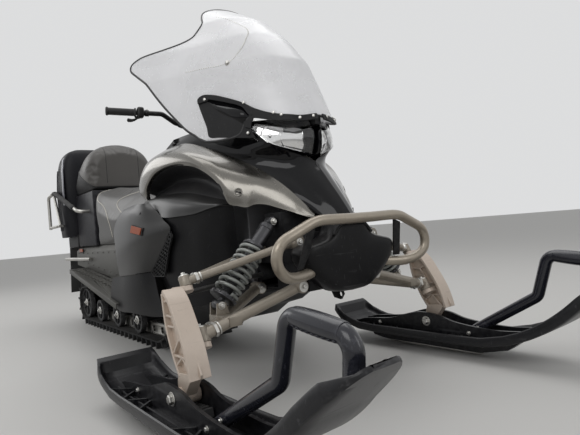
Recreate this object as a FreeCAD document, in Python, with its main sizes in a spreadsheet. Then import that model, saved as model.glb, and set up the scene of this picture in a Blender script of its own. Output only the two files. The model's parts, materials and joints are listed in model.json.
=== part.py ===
"""Two-seat touring snowmobile with a double-wishbone front end.

Millimetres. +X is forward, +Y is left, +Z is up, the floor is z = 0, and the origin lies under the
middle of the machine. The right-hand pieces are drawn and the left-hand ones are their mirror image.
"""

import FreeCAD
import Part

import math
import os

from FreeCAD import Placement, Rotation, Vector

SIZES = (
    # name, value in millimetres or degrees
    ("seat_gap", 0.3),
    ("running_gap", 0.06),
    ("panel_gap", 0.8),
    ("panel_wall", 4),
    # track and its running gear
    ("track_width", 381),
    ("belt_thick", 8),
    ("lug_tall", 32),
    ("lug_thick", 14),
    ("lug_count", 60),
    ("drive_x", 235),
    ("drive_z", 305),
    ("drive_radius", 84),
    ("idler_x", -1325),
    ("idler_radius", 100),
    ("bogie_radius", 67),
    ("toe_x", -120),
    ("toe_radius", 160),
    ("rail_spread", 240),
    ("rail_thick", 14),
    ("rail_tall", 58),
    ("axle_radius", 12),
    ("wheel_wide", 28),
    # tunnel and what bolts to it
    ("tunnel_front", 373.7),
    ("tunnel_rear", -1345),
    ("tunnel_clearance", 15.5),
    ("tunnel_top", 520),
    ("tunnel_wall", 3),
    ("tunnel_skirt", 275),
    ("board_front_x", -40),
    ("board_rear_x", -1150),
    ("board_front_z", 258),
    ("board_rear_z", 384),
    ("board_front_y", 392),
    ("board_rear_y", 308),
    ("board_thick", 4),
    ("board_lip", 26),
    ("board_hole", 24),
    # front frame
    ("frame_front", 1012),
    ("frame_rear", 735),
    ("frame_half", 144.7),
    ("frame_low", 318),
    ("frame_top", 508),
    ("tow_eye_x", 995),
    ("tow_eye_z", 298),
    ("tow_plate", 8),
    ("pin_bore", 8.5),
    ("tower_top", 580),
    ("tower_step", 20),
    ("tower_front", 925),
    ("tower_rear", 835),
    ("engine_wide", 330),
    ("engine_tall", 330),
    ("engine_rear", 374),
    ("engine_low", 346),
    # suspension and steering
    ("caster", 27),
    ("kingpin_y", 490),
    ("lower_joint_x", 955),
    ("lower_joint_z", 257),
    ("joint_rise", 161),
    ("upper_tube", 12),
    ("upper_socket", 15),
    ("lower_tube", 17),
    ("lower_socket", 20),
    ("bush_radius", 20),
    ("bush_long", 46),
    ("shock_x", 887),
    ("shock_eye", 15),
    ("shock_eye_half", 16),
    ("shock_top_z", 552),
    ("shock_low_y", 395),
    ("shock_low_z", 320),
    ("spring_radius", 37),
    ("spring_wire", 5.5),
    ("spring_turns", 8),
    ("arm_reach_x", 800),
    ("arm_reach_z", 345),
    ("tie_rod_tube", 8),
    ("tie_rod_long", 322),
    # skis
    ("ski_stance", 1080),
    ("ski_wide", 212),
    ("ski_bolt_x", 945),
    ("ski_bolt_z", 112),
    ("ski_bolt", 8),
    ("ski_deck_z", 52),
    ("ski_deck", 7),
    ("ski_wall_gap", 66),
    ("ski_wall", 10),
    ("ski_rear_x", 468),
    ("ski_curl_x", 1150),
    ("ski_curl", 550),
    ("ski_tip_x", 1650),
    ("runner_wide", 20),
    ("runner_tall", 10),
    ("loop_tube", 19),
    # front bumper
    ("bumper_tube", 16),
    # body
    ("screen_thick", 4),
    ("screen_slope", 60),
    ("screen_nose", 150),
    # steering column
    ("bar_x", 55),
    ("bar_z", 1062),
    ("column_rake", 38),
    ("column_tube", 16),
    ("bar_tube", 11),
    ("bar_half", 383),
    # rear
    ("rail_tube", 11),
    ("hitch_x", -1612),
    ("hitch_z", 440),
    ("hitch_plate", 8),
)

doc = FreeCAD.newDocument("Snowmobile")
sheet = doc.addObject("Spreadsheet::Sheet", "Sizes")
for row, (alias, value) in enumerate(SIZES, start=1):
    sheet.set(f"A{row}", alias)
    sheet.set(f"B{row}", str(value))
    sheet.setAlias(f"B{row}", alias)
doc.recompute()

RIGHT = -1
LEFT = 1
SIDES = (("right", RIGHT), ("left", LEFT))
NODES = []


def size(alias):
    """The value of a named size."""
    return float(getattr(sheet, alias))


tunnel_half = size("track_width") / 2 + size("tunnel_clearance")


def feature(label, shape):
    """Keep a finished shape as a sub-part of its own."""
    made = doc.addObject("Part::Feature", label)
    made.Label = label
    made.Shape = shape
    made.Placement = Placement()
    NODES.append(made)
    return made


def bind(made, **expressions):
    """Tie an object's properties to the sheet."""
    for name, expression in expressions.items():
        made.setExpression(name, expression)
    return made


def mirrored(shape):
    """The left-hand twin of a right-hand shape."""
    return shape.mirror(Vector(0, 0, 0), Vector(0, 1, 0))


def both(shape):
    """A right-hand shape and its twin, as two solids in one compound."""
    return Part.makeCompound([shape, mirrored(shape)])


def fused(shapes):
    """One solid from shapes that meet."""
    whole = shapes[0].multiFuse(shapes[1:])
    return whole.removeSplitter()


def largest(shape):
    """The largest solid that a cut leaves."""
    return max(shape.Solids, key=lambda solid: solid.Volume)


def polygon(points):
    """A closed wire through points."""
    return Part.makePolygon(list(points) + [points[0]])


def side_plate(outline, y_from, y_to):
    """A plate with an (x, z) outline, between two y values."""
    wire = polygon([Vector(x, y_from, z) for x, z in outline])
    return Part.Face(wire).extrude(Vector(0, y_to - y_from, 0))


def front_plate(outline, x_from, x_to):
    """A plate with a (y, z) outline, between two x values."""
    wire = polygon([Vector(x_from, y, z) for y, z in outline])
    return Part.Face(wire).extrude(Vector(x_to - x_from, 0, 0))


def floor_plate(outline, z_from, z_to):
    """A plate with an (x, y) outline, between two z values."""
    wire = polygon([Vector(x, y, z_from) for x, y in outline])
    return Part.Face(wire).extrude(Vector(0, 0, z_to - z_from))


def box(low, high):
    """A block between two corners."""
    span = high - low
    return Part.makeBox(span.x, span.y, span.z, low)


def rod(start, end, radius):
    """A round bar between two points."""
    along = end - start
    return Part.makeCylinder(radius, along.Length, start, along)


def bent_tube(points, bend, radius):
    """A round bar along straight runs joined by tangent arcs."""
    edges = []
    last = points[0]
    for before, corner, after in zip(points, points[1:], points[2:]):
        to_before = (before - corner).normalize()
        to_after = (after - corner).normalize()
        half = to_before.getAngle(to_after) / 2
        reach = bend / math.tan(half)
        first = corner + to_before * reach
        second = corner + to_after * reach
        middle_way = (to_before + to_after).normalize()
        middle = corner + middle_way * (bend / math.sin(half) - bend)
        edges.append(Part.LineSegment(last, first).toShape())
        edges.append(Part.Arc(first, middle, second).toShape())
        last = second
    edges.append(Part.LineSegment(last, points[-1]).toShape())
    start_way = (points[1] - points[0]).normalize()
    ring = Part.Wire([Part.makeCircle(radius, points[0], start_way)])
    return Part.Wire(edges).makePipeShell([ring], True, False)


def skin(rows, wall):
    """A shell of even wall, ruled through cross-sections at stations along x.

    Each row is a station and its outer line, listed as (y, z) points on the right-hand side with y
    counted outwards. The wall lies inside that line.
    """
    wires = []
    for station, line in rows:
        inner = offset_line(line, wall)
        ring = [Vector(station, -y, z) for y, z in line]
        ring += [Vector(station, -y, z) for y, z in reversed(inner)]
        wires.append(polygon(ring))
    return Part.makeLoft(wires, True, True)


def offset_line(line, wall):
    """The same (y, z) line moved inwards, to the right of its direction of travel."""
    normals = []
    for (y_a, z_a), (y_b, z_b) in zip(line, line[1:]):
        length = math.hypot(y_b - y_a, z_b - z_a)
        normals.append(((z_b - z_a) / length, -(y_b - y_a) / length))
    moved = []
    for index, (y, z) in enumerate(line):
        before = normals[max(index - 1, 0)]
        after = normals[min(index, len(normals) - 1)]
        across = (before[0] + after[0], before[1] + after[1])
        scale = wall * 2 / (across[0] ** 2 + across[1] ** 2)
        moved.append((y + across[0] * scale, z + across[1] * scale))
    return moved


def quad(a, b, c, d):
    """Two triangles between four points."""
    return [Part.Face(polygon([a, b, c])), Part.Face(polygon([a, c, d]))]


def moulding(rows, wall):
    """A moulded shell whose outer face passes through a grid of points.

    Each row runs from the top edge to the bottom edge and holds (x, y, z) points on the right-hand
    side, with y counted outwards. The rows run from the front to the rear, and the wall lies inside.
    """
    outer = [[Vector(x, -y, z) for x, y, z in row] for row in rows]
    last_row, last_column = len(outer) - 1, len(outer[0]) - 1
    inner = []
    for r, row in enumerate(outer):
        line = []
        for c, point in enumerate(row):
            along = outer[min(r + 1, last_row)][c] - outer[max(r - 1, 0)][c]
            across = row[min(c + 1, last_column)] - row[max(c - 1, 0)]
            way = along.cross(across)
            if point.y == 0:
                way.y = 0
            line.append(point - way.normalize() * wall)
        inner.append(line)
    faces = []
    for r in range(last_row):
        for c in range(last_column):
            faces += quad(outer[r][c], outer[r][c + 1], outer[r + 1][c + 1], outer[r + 1][c])
            faces += quad(inner[r][c], inner[r][c + 1], inner[r + 1][c + 1], inner[r + 1][c])
        for c in (0, last_column):
            faces += quad(outer[r][c], outer[r + 1][c], inner[r + 1][c], inner[r][c])
    for c in range(last_column):
        for r in (0, last_row):
            faces += quad(outer[r][c], outer[r][c + 1], inner[r][c + 1], inner[r][c])
    solid = Part.makeSolid(Part.makeShell(faces))
    if solid.Volume < 0:
        solid.reverse()
    return solid


def block(rows):
    """A solid ruled through symmetric cross-sections at stations along x.

    Each row is a station and half of its outline, listed as (y, z) points from the bottom up.
    """
    wires = []
    for station, half in rows:
        ring = [Vector(station, y, z) for y, z in half]
        ring += [Vector(station, -y, z) for y, z in reversed(half)]
        wires.append(polygon(ring))
    return Part.makeLoft(wires, True, True)


# Kingpin line, from which the arms, the spindles and the skis are placed
caster_angle = math.radians(size("caster"))
kingpin_way = Vector(-math.sin(caster_angle), 0, math.cos(caster_angle))
lower_joint = Vector(size("lower_joint_x"), -size("kingpin_y"), size("lower_joint_z"))
upper_joint = lower_joint + kingpin_way * size("joint_rise")


# Track: a belt round the drive sprockets, the toe of the rails and the rear idlers
belt = size("belt_thick")
lug = size("lug_tall")
belt_floor = lug + belt
idler_z = belt_floor + size("idler_radius") + size("seat_gap")
track_half = size("track_width") / 2


def tangent_points(centre_a, radius_a, centre_b, radius_b):
    """The points where the outer tangent, on the left of a to b, touches two circles."""
    (x_a, z_a), (x_b, z_b) = centre_a, centre_b
    span = math.hypot(x_b - x_a, z_b - z_a)
    heading = math.atan2(z_b - z_a, x_b - x_a)
    turn = heading + math.acos((radius_a - radius_b) / span)
    across = (math.cos(turn), math.sin(turn))
    first = (x_a + across[0] * radius_a, z_a + across[1] * radius_a)
    second = (x_b + across[0] * radius_b, z_b + across[1] * radius_b)
    return first, second


def track_rollers(grow):
    """The circles that the belt runs round, clockwise seen from the right, grown outwards."""
    toe_z = belt_floor + size("toe_radius")
    return (
        ((size("idler_x"), idler_z), size("idler_radius") + size("seat_gap") + grow),
        ((size("drive_x"), size("drive_z")), size("drive_radius") + size("seat_gap") + grow),
        ((size("toe_x"), toe_z), size("toe_radius") + grow),
    )


def track_loop(grow):
    """The closed run of lines and arcs round the rollers, as edges in the plane y = 0."""
    rollers = track_rollers(grow)
    spans = []
    for index, (centre, radius) in enumerate(rollers):
        next_centre, next_radius = rollers[(index + 1) % len(rollers)]
        spans.append(tangent_points(centre, radius, next_centre, next_radius))
    edges = []
    for index, (centre, radius) in enumerate(rollers):
        arrive = spans[index - 1][1]
        leave = spans[index][0]
        start = math.atan2(arrive[1] - centre[1], arrive[0] - centre[0])
        end = math.atan2(leave[1] - centre[1], leave[0] - centre[0])
        while end > start:
            end -= 2 * math.pi
        middle = (start + end) / 2
        via = (centre[0] + radius * math.cos(middle), centre[1] + radius * math.sin(middle))
        points = [Vector(x, 0, z) for x, z in (arrive, via, leave)]
        edges.append(Part.Arc(*points).toShape())
        run_start, run_end = spans[index]
        edges.append(
            Part.LineSegment(Vector(run_start[0], 0, run_start[1]),
                             Vector(run_end[0], 0, run_end[1])).toShape()
        )
    return edges


def make_track():
    """The belt with its lugs across the full width."""
    outer = Part.Face(Part.Wire(track_loop(belt)))
    inner = Part.Face(Part.Wire(track_loop(0)))
    ring = outer.cut(inner)
    ring.translate(Vector(0, -track_half, 0))
    band = ring.extrude(Vector(0, size("track_width"), 0))
    path = Part.Wire(track_loop(belt))
    count = int(size("lug_count"))
    lugs = []
    root = size("lug_thick")
    tip = root * 0.6
    points = path.discretize(Number=count * 8 + 1)
    for index in range(count):
        place = points[index * 8]
        along = (points[index * 8 + 1] - points[index * 8 - 1 if index else -2]).normalize()
        out = Vector(along.z, 0, -along.x)
        if (place + out - Vector(size("toe_x"), 0, idler_z)).Length < (
                place - out - Vector(size("toe_x"), 0, idler_z)).Length:
            out = out * -1
        foot = place - out * (belt / 2)
        crest = place + out * lug
        profile = [foot - along * (root / 2), foot + along * (root / 2),
                   crest + along * (tip / 2), crest - along * (tip / 2)]
        profile = [point - Vector(0, track_half, 0) for point in profile]
        lugs.append(Part.Face(polygon(profile)).extrude(Vector(0, size("track_width"), 0)))
    return band.multiFuse(lugs)


feature("track", make_track())


# Wheels of the skid: rear idlers and bogies on cross shafts, and the drive axle
def wheel(centre_x, centre_y, centre_z, radius, wide, rim):
    """A dished wheel on a shaft along y."""
    centre = Vector(centre_x, centre_y - wide / 2, centre_z)
    tread = Part.makeCylinder(radius, wide, centre, Vector(0, 1, 0))
    dish = Part.makeCylinder(radius - rim, wide * 0.35, centre, Vector(0, 1, 0))
    dish_far = dish.translated(Vector(0, wide * 0.65, 0))
    return tread.cut(dish).cut(dish_far)


def shaft(centre_x, centre_z, radius, half):
    """A round shaft across the machine."""
    return rod(Vector(centre_x, -half, centre_z), Vector(centre_x, half, centre_z), radius)


bogie_z = belt_floor + size("seat_gap") + size("bogie_radius")
WHEEL_AXLES = (
    # x, z, radius, distances of the wheels from the middle
    (size("idler_x"), idler_z, size("idler_radius"), (50, 158)),
    (-1040, bogie_z, size("bogie_radius"), (158,)),
    (-720, bogie_z, size("bogie_radius"), (158,)),
    (-400, bogie_z, size("bogie_radius"), (158,)),
)


def make_track_wheels():
    """Every wheel of the skid with its cross shaft."""
    groups = []
    for axle_x, axle_z, radius, places in WHEEL_AXLES:
        pieces = [shaft(axle_x, axle_z, size("axle_radius"), max(places) + 22)]
        for place in places:
            for way in (RIGHT, LEFT):
                pieces.append(wheel(axle_x, way * place, axle_z, radius, size("wheel_wide"), 16))
        groups.append(fused(pieces))
    return Part.makeCompound(groups)


feature("track_wheels", make_track_wheels())


def make_drive_axle():
    """The drive shaft with its four toothed sprockets."""
    pieces = [shaft(size("drive_x"), size("drive_z"), 18, tunnel_half + 14)]
    for place in (-150, -50, 50, 150):
        pieces.append(wheel(size("drive_x"), place, size("drive_z"), size("drive_radius"), 30, 14))
    return fused(pieces)


feature("drive_axle", make_drive_axle())


# Skid frame: two slide rails, the cross tubes and the two swing arms up to the tunnel
def make_skid_frame():
    """Slide rails on the belt with the arms that hang them from the tunnel."""
    gap = size("seat_gap")
    low = belt_floor + gap
    top = low + size("rail_tall")
    outline = [
        (size("idler_x") - 26, low + 34), (size("idler_x") + 40, low + 8), (-1230, low),
        (size("toe_x") - 10, low), (size("toe_x") + 52, low + 12), (size("toe_x") + 92, low + 42),
        (size("toe_x") + 80, low + 62), (size("toe_x") - 30, top), (-1240, top),
        (size("idler_x") + 10, idler_z + 34), (size("idler_x") - 30, idler_z + 26),
    ]
    half = size("rail_spread") / 2
    thick = size("rail_thick")
    rail = side_plate(outline, -half - thick / 2, -half + thick / 2)
    for centre in range(-1130, -150, 105):
        if all(abs(centre - row[0]) > 38 for row in WHEEL_AXLES):
            hole = Part.makeCylinder(17, thick * 2, Vector(centre, -half - thick, low + 30),
                                     Vector(0, 1, 0))
            rail = rail.cut(hole)
    for axle_x, axle_z, _, _ in WHEEL_AXLES:
        rail = rail.cut(shaft(axle_x, axle_z, size("axle_radius") + gap, track_half))
    tunnel_inner = tunnel_half - size("tunnel_wall")
    pieces = [rail, mirrored(rail)]
    for cross_x in (-250, -880):
        pieces.append(shaft(cross_x, low + 30, 13, half))
    for foot_x, head_x, head_z, spread in ((-250, -30, 318, 70), (-880, -640, 262, 70)):
        pieces.append(shaft(head_x, head_z, 14, tunnel_inner - gap))
        for way in (RIGHT, LEFT):
            pieces.append(rod(Vector(foot_x, way * spread, low + 30),
                              Vector(head_x, way * spread, head_z), 13))
    return fused(pieces)


feature("skid_frame", make_skid_frame())


# Tunnel: a folded sheet channel that covers the track
tunnel = doc.addObject("PartDesign::Body", "tunnel")
tunnel.Label = "tunnel"
doc.recompute()
across_plane = [plane for plane in tunnel.Origin.OriginFeatures if plane.Role == "YZ_Plane"][0]
channel = tunnel.newObject("Sketcher::SketchObject", "tunnel_channel")
channel.AttachmentSupport = (across_plane, [""])
channel.MapMode = "FlatFace"
bind(channel, **{"AttachmentOffset.Base.z": "Sizes.tunnel_rear"})
half = tunnel_half
wall = size("tunnel_wall")
channel_points = [
    (-half, size("tunnel_skirt")), (-half, size("tunnel_top") - 30), (-half + 30, size("tunnel_top")),
    (half - 30, size("tunnel_top")), (half, size("tunnel_top") - 30), (half, size("tunnel_skirt")),
    (half - wall, size("tunnel_skirt")), (half - wall, size("tunnel_top") - 31),
    (half - 31, size("tunnel_top") - wall), (-half + 31, size("tunnel_top") - wall),
    (-half + wall, size("tunnel_top") - 31), (-half + wall, size("tunnel_skirt")),
]
for first, second in zip(channel_points, channel_points[1:] + channel_points[:1]):
    channel.addGeometry(Part.LineSegment(Vector(first[0], first[1], 0),
                                         Vector(second[0], second[1], 0)), False)
sheet_run = tunnel.newObject("PartDesign::Pad", "tunnel_run")
sheet_run.Profile = channel
bind(sheet_run, Length="Sizes.tunnel_front - Sizes.tunnel_rear")
doc.recompute()
tunnel_cut = tunnel.Shape.copy()
axle_bore = shaft(size("drive_x"), size("drive_z"), 18 + size("seat_gap"), tunnel_half * 2)
tunnel_cut = tunnel_cut.cut(axle_bore)
skirt_rise = side_plate(
    [(size("board_front_x"), size("tunnel_skirt") - 1), (size("tunnel_rear") - 1, 400),
     (size("tunnel_rear") - 1, 200), (size("board_front_x"), 200)],
    -tunnel_half * 2, tunnel_half * 2)
tunnel_cut = tunnel_cut.cut(skirt_rise)
hanger = box(Vector(-672, half - wall, 240), Vector(-608, half, 350))
tunnel_cut = tunnel_cut.fuse(hanger).fuse(mirrored(hanger))
feature("tunnel_sheet", tunnel_cut)


# Running boards: punched sheets with a turned-up lip, rising to the rear
def make_board():
    """The right-hand running board."""
    inner = tunnel_half + size("seat_gap")
    thick = size("board_thick")
    front, rear = size("board_front_x"), size("board_rear_x")
    slope = math.atan2(size("board_rear_z") - size("board_front_z"), front - rear)
    long = (front - rear) / math.cos(slope)
    outline = [(0, -inner), (0, -size("board_front_y")), (-long, -size("board_rear_y")), (-long, -inner)]
    plate = floor_plate(outline, -thick, 0)
    lip_way = Vector(-long, size("board_front_y") - size("board_rear_y"), 0)
    lip = Part.Face(polygon([
        Vector(0, -size("board_front_y"), -size("board_lip")),
        Vector(0, -size("board_front_y"), 0),
        Vector(0, -size("board_front_y") + thick, 0),
        Vector(0, -size("board_front_y") + thick, -size("board_lip")),
    ])).extrude(lip_way)
    board = plate.fuse(lip)
    holes = []
    for row in range(2):
        for step in range(int(long / 62)):
            x = -40 - step * 62 - row * 31
            y = -inner - 34 - row * 46
            if x > -long + 30:
                holes.append(Part.makeCylinder(size("board_hole") / 2, thick * 4,
                                               Vector(x, y, -thick * 2)))
    board = board.cut(Part.makeCompound(holes))
    board.Placement = Placement(Vector(front, 0, size("board_front_z")),
                                Rotation(Vector(0, 1, 0), math.degrees(slope)))
    return board


board_right = make_board()
feature("running_boards", both(board_right))


# Front frame: the welded box that carries both wishbones and the shock towers
tower_half = size("frame_half") + size("tower_step")


def make_front_frame():
    """The upper box with its towers, and below it the nose column, the rear post and the floor plate.

    The four are bolted together round the passage that the tie rods swing in.
    """
    half = size("frame_half")
    rear, front = size("arm_reach_x") - 45, size("arm_reach_x") + 50
    low, top = size("arm_reach_z") - 10, size("arm_reach_z") + 70
    main = block((
        (size("frame_rear"), ((half, size("frame_low") + 6), (half, size("frame_top")))),
        (size("frame_front"), ((half, size("frame_low") + 10), (half, size("frame_top")))),
    ))
    tower = box(Vector(size("tower_rear"), -tower_half, size("frame_top") - 1),
                Vector(size("tower_front"), tower_half, size("tower_top")))
    passage = box(Vector(rear, -tower_half, low), Vector(front, tower_half, top))
    gap = size("seat_gap")
    joints = (
        box(Vector(size("frame_rear") - 1, -tower_half, top),
            Vector(size("frame_front") + 1, tower_half, top + gap)),
        box(Vector(front, -tower_half, 0), Vector(front + gap, tower_half, top)),
        box(Vector(rear - gap, -tower_half, 0), Vector(rear, tower_half, low)),
    )
    eye_x, eye_z = size("tow_eye_x"), size("tow_eye_z")
    tow_plate = side_plate([(eye_x - 60, size("frame_low") + 20), (eye_x - 30, eye_z - 12),
                            (eye_x, eye_z - 17), (eye_x + 14, eye_z), (eye_x, size("frame_low") + 20)],
                           -size("tow_plate") / 2, size("tow_plate") / 2)
    eye = rod(Vector(eye_x, -20, eye_z), Vector(eye_x, 20, eye_z), size("pin_bore"))
    return main.fuse([tower, tow_plate]).cut([passage, eye, *joints]).removeSplitter()


front_frame = make_front_frame()
feature("front_frame", front_frame)

engine = doc.addObject("Part::Box", "engine_block")
engine.Label = "engine_block"
bind(engine, Length="Sizes.frame_rear - Sizes.seat_gap - Sizes.engine_rear",
     Width="Sizes.engine_wide", Height="Sizes.engine_tall",
     **{"Placement.Base.x": "Sizes.engine_rear", "Placement.Base.y": "-Sizes.engine_wide / 2",
        "Placement.Base.z": "Sizes.engine_low"})
NODES.append(engine)


# Wishbones
pivot_y = -(size("frame_half") + size("seat_gap") + size("bush_radius"))
ARM_INNER = {
    # inner pivots: front and rear x, z
    "upper": ((985, 482), (778, 462)),
    "lower": ((985, 346), (760, 332)),
}


def wishbone(joint, inner, tube, socket_radius, socket_half):
    """Two tubes from a ball-joint socket to their bushes on the frame."""
    socket = rod(joint - kingpin_way * socket_half, joint + kingpin_way * socket_half, socket_radius)
    pieces = [socket]
    bush = Vector(size("bush_long") / 2, 0, 0)
    for pivot_x, pivot_z in inner:
        pivot = Vector(pivot_x, pivot_y, pivot_z)
        pieces.append(rod(joint, pivot, tube))
        pieces.append(rod(pivot - bush, pivot + bush, size("bush_radius")))
    return pieces


upper_pieces = wishbone(upper_joint, ARM_INNER["upper"], size("upper_tube"), 17, size("upper_socket"))
upper_arm = fused(upper_pieces)
lower_pieces = wishbone(lower_joint, ARM_INNER["lower"], size("lower_tube"), 21, size("lower_socket"))


def lower_shock_bracket():
    """The cheeks on the lower wishbone that hold the foot of the shock."""
    x = size("shock_x")
    y = -size("shock_low_y")
    z = size("shock_low_z")
    cheeks = []
    for side in (-1, 1):
        near = x + side * (size("shock_eye_half") + size("seat_gap"))
        far = near + side * 5
        outline = [(y - 20, z - 46), (y + 26, z - 34), (y + 15, z + 8), (y - 15, z + 8)]
        cheeks.append(front_plate(outline, min(near, far), max(near, far)))
    base = box(Vector(x - 22, y - 20, z - 52), Vector(982, y + 20, z - 26))
    return cheeks + [base]


lower_arm = fused(lower_pieces + lower_shock_bracket())
feature("upper_arms", both(upper_arm))
feature("lower_arms", both(lower_arm))


# Shock absorbers and their springs
shock_top = Vector(size("shock_x"), -(tower_half + size("seat_gap") + size("shock_eye")),
                   size("shock_top_z"))
shock_foot = Vector(size("shock_x"), -size("shock_low_y"), size("shock_low_z"))
shock_way = (shock_top - shock_foot).normalize()
shock_long = (shock_top - shock_foot).Length


def make_shock():
    """Body, rod and the two eyes."""
    eye = Vector(size("shock_eye_half"), 0, 0)
    pieces = [
        rod(shock_foot - eye, shock_foot + eye, size("shock_eye")),
        rod(shock_top - eye, shock_top + eye, size("shock_eye")),
        rod(shock_foot, shock_top, 9),
        rod(shock_foot + shock_way * 24, shock_foot + shock_way * 34, 40),
        rod(shock_foot + shock_way * (shock_long - 110), shock_top - shock_way * 18, 24),
        rod(shock_foot + shock_way * 34, shock_foot + shock_way * (shock_long - 104), 16),
        rod(shock_foot + shock_way * (shock_long - 110), shock_foot + shock_way * (shock_long - 100), 40),
    ]
    return fused(pieces)


def make_spring():
    """A round wire helix between the two seats of the shock."""
    wire = size("spring_wire")
    low = 34 + wire + size("seat_gap")
    high = shock_long - 110 - wire - size("seat_gap")
    turns = size("spring_turns")
    helix = Part.makeHelix((high - low) / turns, high - low, size("spring_radius"))
    ring = Part.Wire([Part.makeCircle(wire, Vector(size("spring_radius"), 0, 0), Vector(0, 1, 0))])
    coil = Part.Wire(helix.Edges).makePipeShell([ring], True, True)
    coil.Placement = Placement(shock_foot + shock_way * low,
                               Rotation(Vector(0, 0, 1), shock_way))
    return coil


feature("shock_absorbers", both(make_shock()))
feature("shock_springs", both(make_spring()))


# Spindles: cast blades with a broad curved front flange and a pierced web
SPINDLE_FRONT = ((905, 392), (957, 336), (1002, 260), (1033, 168))
SPINDLE_REAR = ((938, 160), (905, 214), (874, 290), (862, 376))


def make_spindle():
    """The right-hand spindle with its joint ears, steering arm, foot and ski bolt."""
    y_mid = -size("ski_stance") / 2
    foot = Vector(size("ski_bolt_x"), y_mid, size("ski_bolt_z"))
    outline = list(SPINDLE_FRONT) + list(SPINDLE_REAR)
    web = side_plate(outline, y_mid - 7, y_mid + 7)
    windows = (
        [(884, 372), (914, 350), (928, 330), (884, 318)],
        [(888, 300), (944, 306), (966, 268), (912, 236)],
        [(922, 222), (978, 246), (1000, 190), (950, 180)],
    )
    for window in windows:
        web = web.cut(side_plate(window, y_mid - 20, y_mid + 20))
    flange_line = list(SPINDLE_FRONT) + [(x - 11, z - 4) for x, z in reversed(SPINDLE_FRONT)]
    flange = side_plate(flange_line, y_mid - 30, y_mid + 30)
    rear_line = list(SPINDLE_REAR) + [(x + 9, z + 2) for x, z in reversed(SPINDLE_REAR)]
    rear_flange = side_plate(rear_line, y_mid - 18, y_mid + 18)
    leg = side_plate([(922, 112), (968, 112), (1030, 168), (1024, 176), (938, 172), (930, 160)],
                     y_mid - 24, y_mid + 24)
    hub = rod(foot - Vector(0, 30, 0), foot + Vector(0, 30, 0), 24)
    bolt = rod(foot - Vector(0, 54, 0), foot + Vector(0, 54, 0), size("ski_bolt"))
    pieces = [web, flange, rear_flange, leg, hub, bolt]
    for joint, below, radius in ((upper_joint, size("upper_socket"), 16),
                                 (lower_joint, size("lower_socket"), 19)):
        top = joint - kingpin_way * (below + size("seat_gap"))
        low = top - kingpin_way * 16
        ear = rod(low, top, radius)
        reach = Part.makeBox(radius * 2, abs(y_mid - joint.y), 16)
        reach.Placement = Placement(low + Vector(0, y_mid - joint.y, 0),
                                    Rotation(Vector(0, 1, 0), -size("caster")))
        reach.translate(Vector(-radius * math.cos(caster_angle), 0, -radius * math.sin(caster_angle)))
        pieces += [ear, reach]
    tip = Vector(size("arm_reach_x"), -size("kingpin_y"), size("arm_reach_z"))
    arm_root = upper_joint + Vector(0, y_mid - upper_joint.y, 0) - kingpin_way * 42
    pieces += [rod(tip - kingpin_way * 14, tip, 14), rod(tip - kingpin_way * 12, arm_root, 10)]
    return fused(pieces)


spindle = make_spindle()
for name, way in SIDES:
    feature(f"spindle_{name}", spindle if way == RIGHT else mirrored(spindle))


def make_tie_rod():
    """The right-hand tie rod, from the steering arm to inside the front frame."""
    tip = Vector(size("arm_reach_x"), -size("kingpin_y"), size("arm_reach_z"))
    low = tip + kingpin_way * size("seat_gap")
    end = rod(low, low + kingpin_way * 22, 13)
    middle = low + kingpin_way * 11
    bar = rod(middle, middle + Vector(0, size("tie_rod_long"), 24), size("tie_rod_tube"))
    return fused([end, bar])


tie_rod = make_tie_rod()
for name, way in SIDES:
    feature(f"tie_rod_{name}", tie_rod if way == RIGHT else mirrored(tie_rod))


# Skis
def ski_line(offset):
    """The underside of the ski's deck in side view, raised by an offset."""
    start, curl = size("ski_curl_x"), size("ski_curl")
    low = size("ski_deck_z") + offset
    points = [(size("ski_rear_x"), low + 70), (520, low + 34), (600, low + 6), (660, low)]
    for angle in (0, 12, 24, 36, 45):
        turn = math.radians(angle)
        points.append((start + curl * math.sin(turn), low + curl * (1 - math.cos(turn))))
    run = size("ski_tip_x") - points[-1][0]
    points.append((size("ski_tip_x"), points[-1][1] + run * 0.85))
    return points


RIB_COUNT = 8
RIB_REAR = 680
RIB_PITCH = 62


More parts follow.
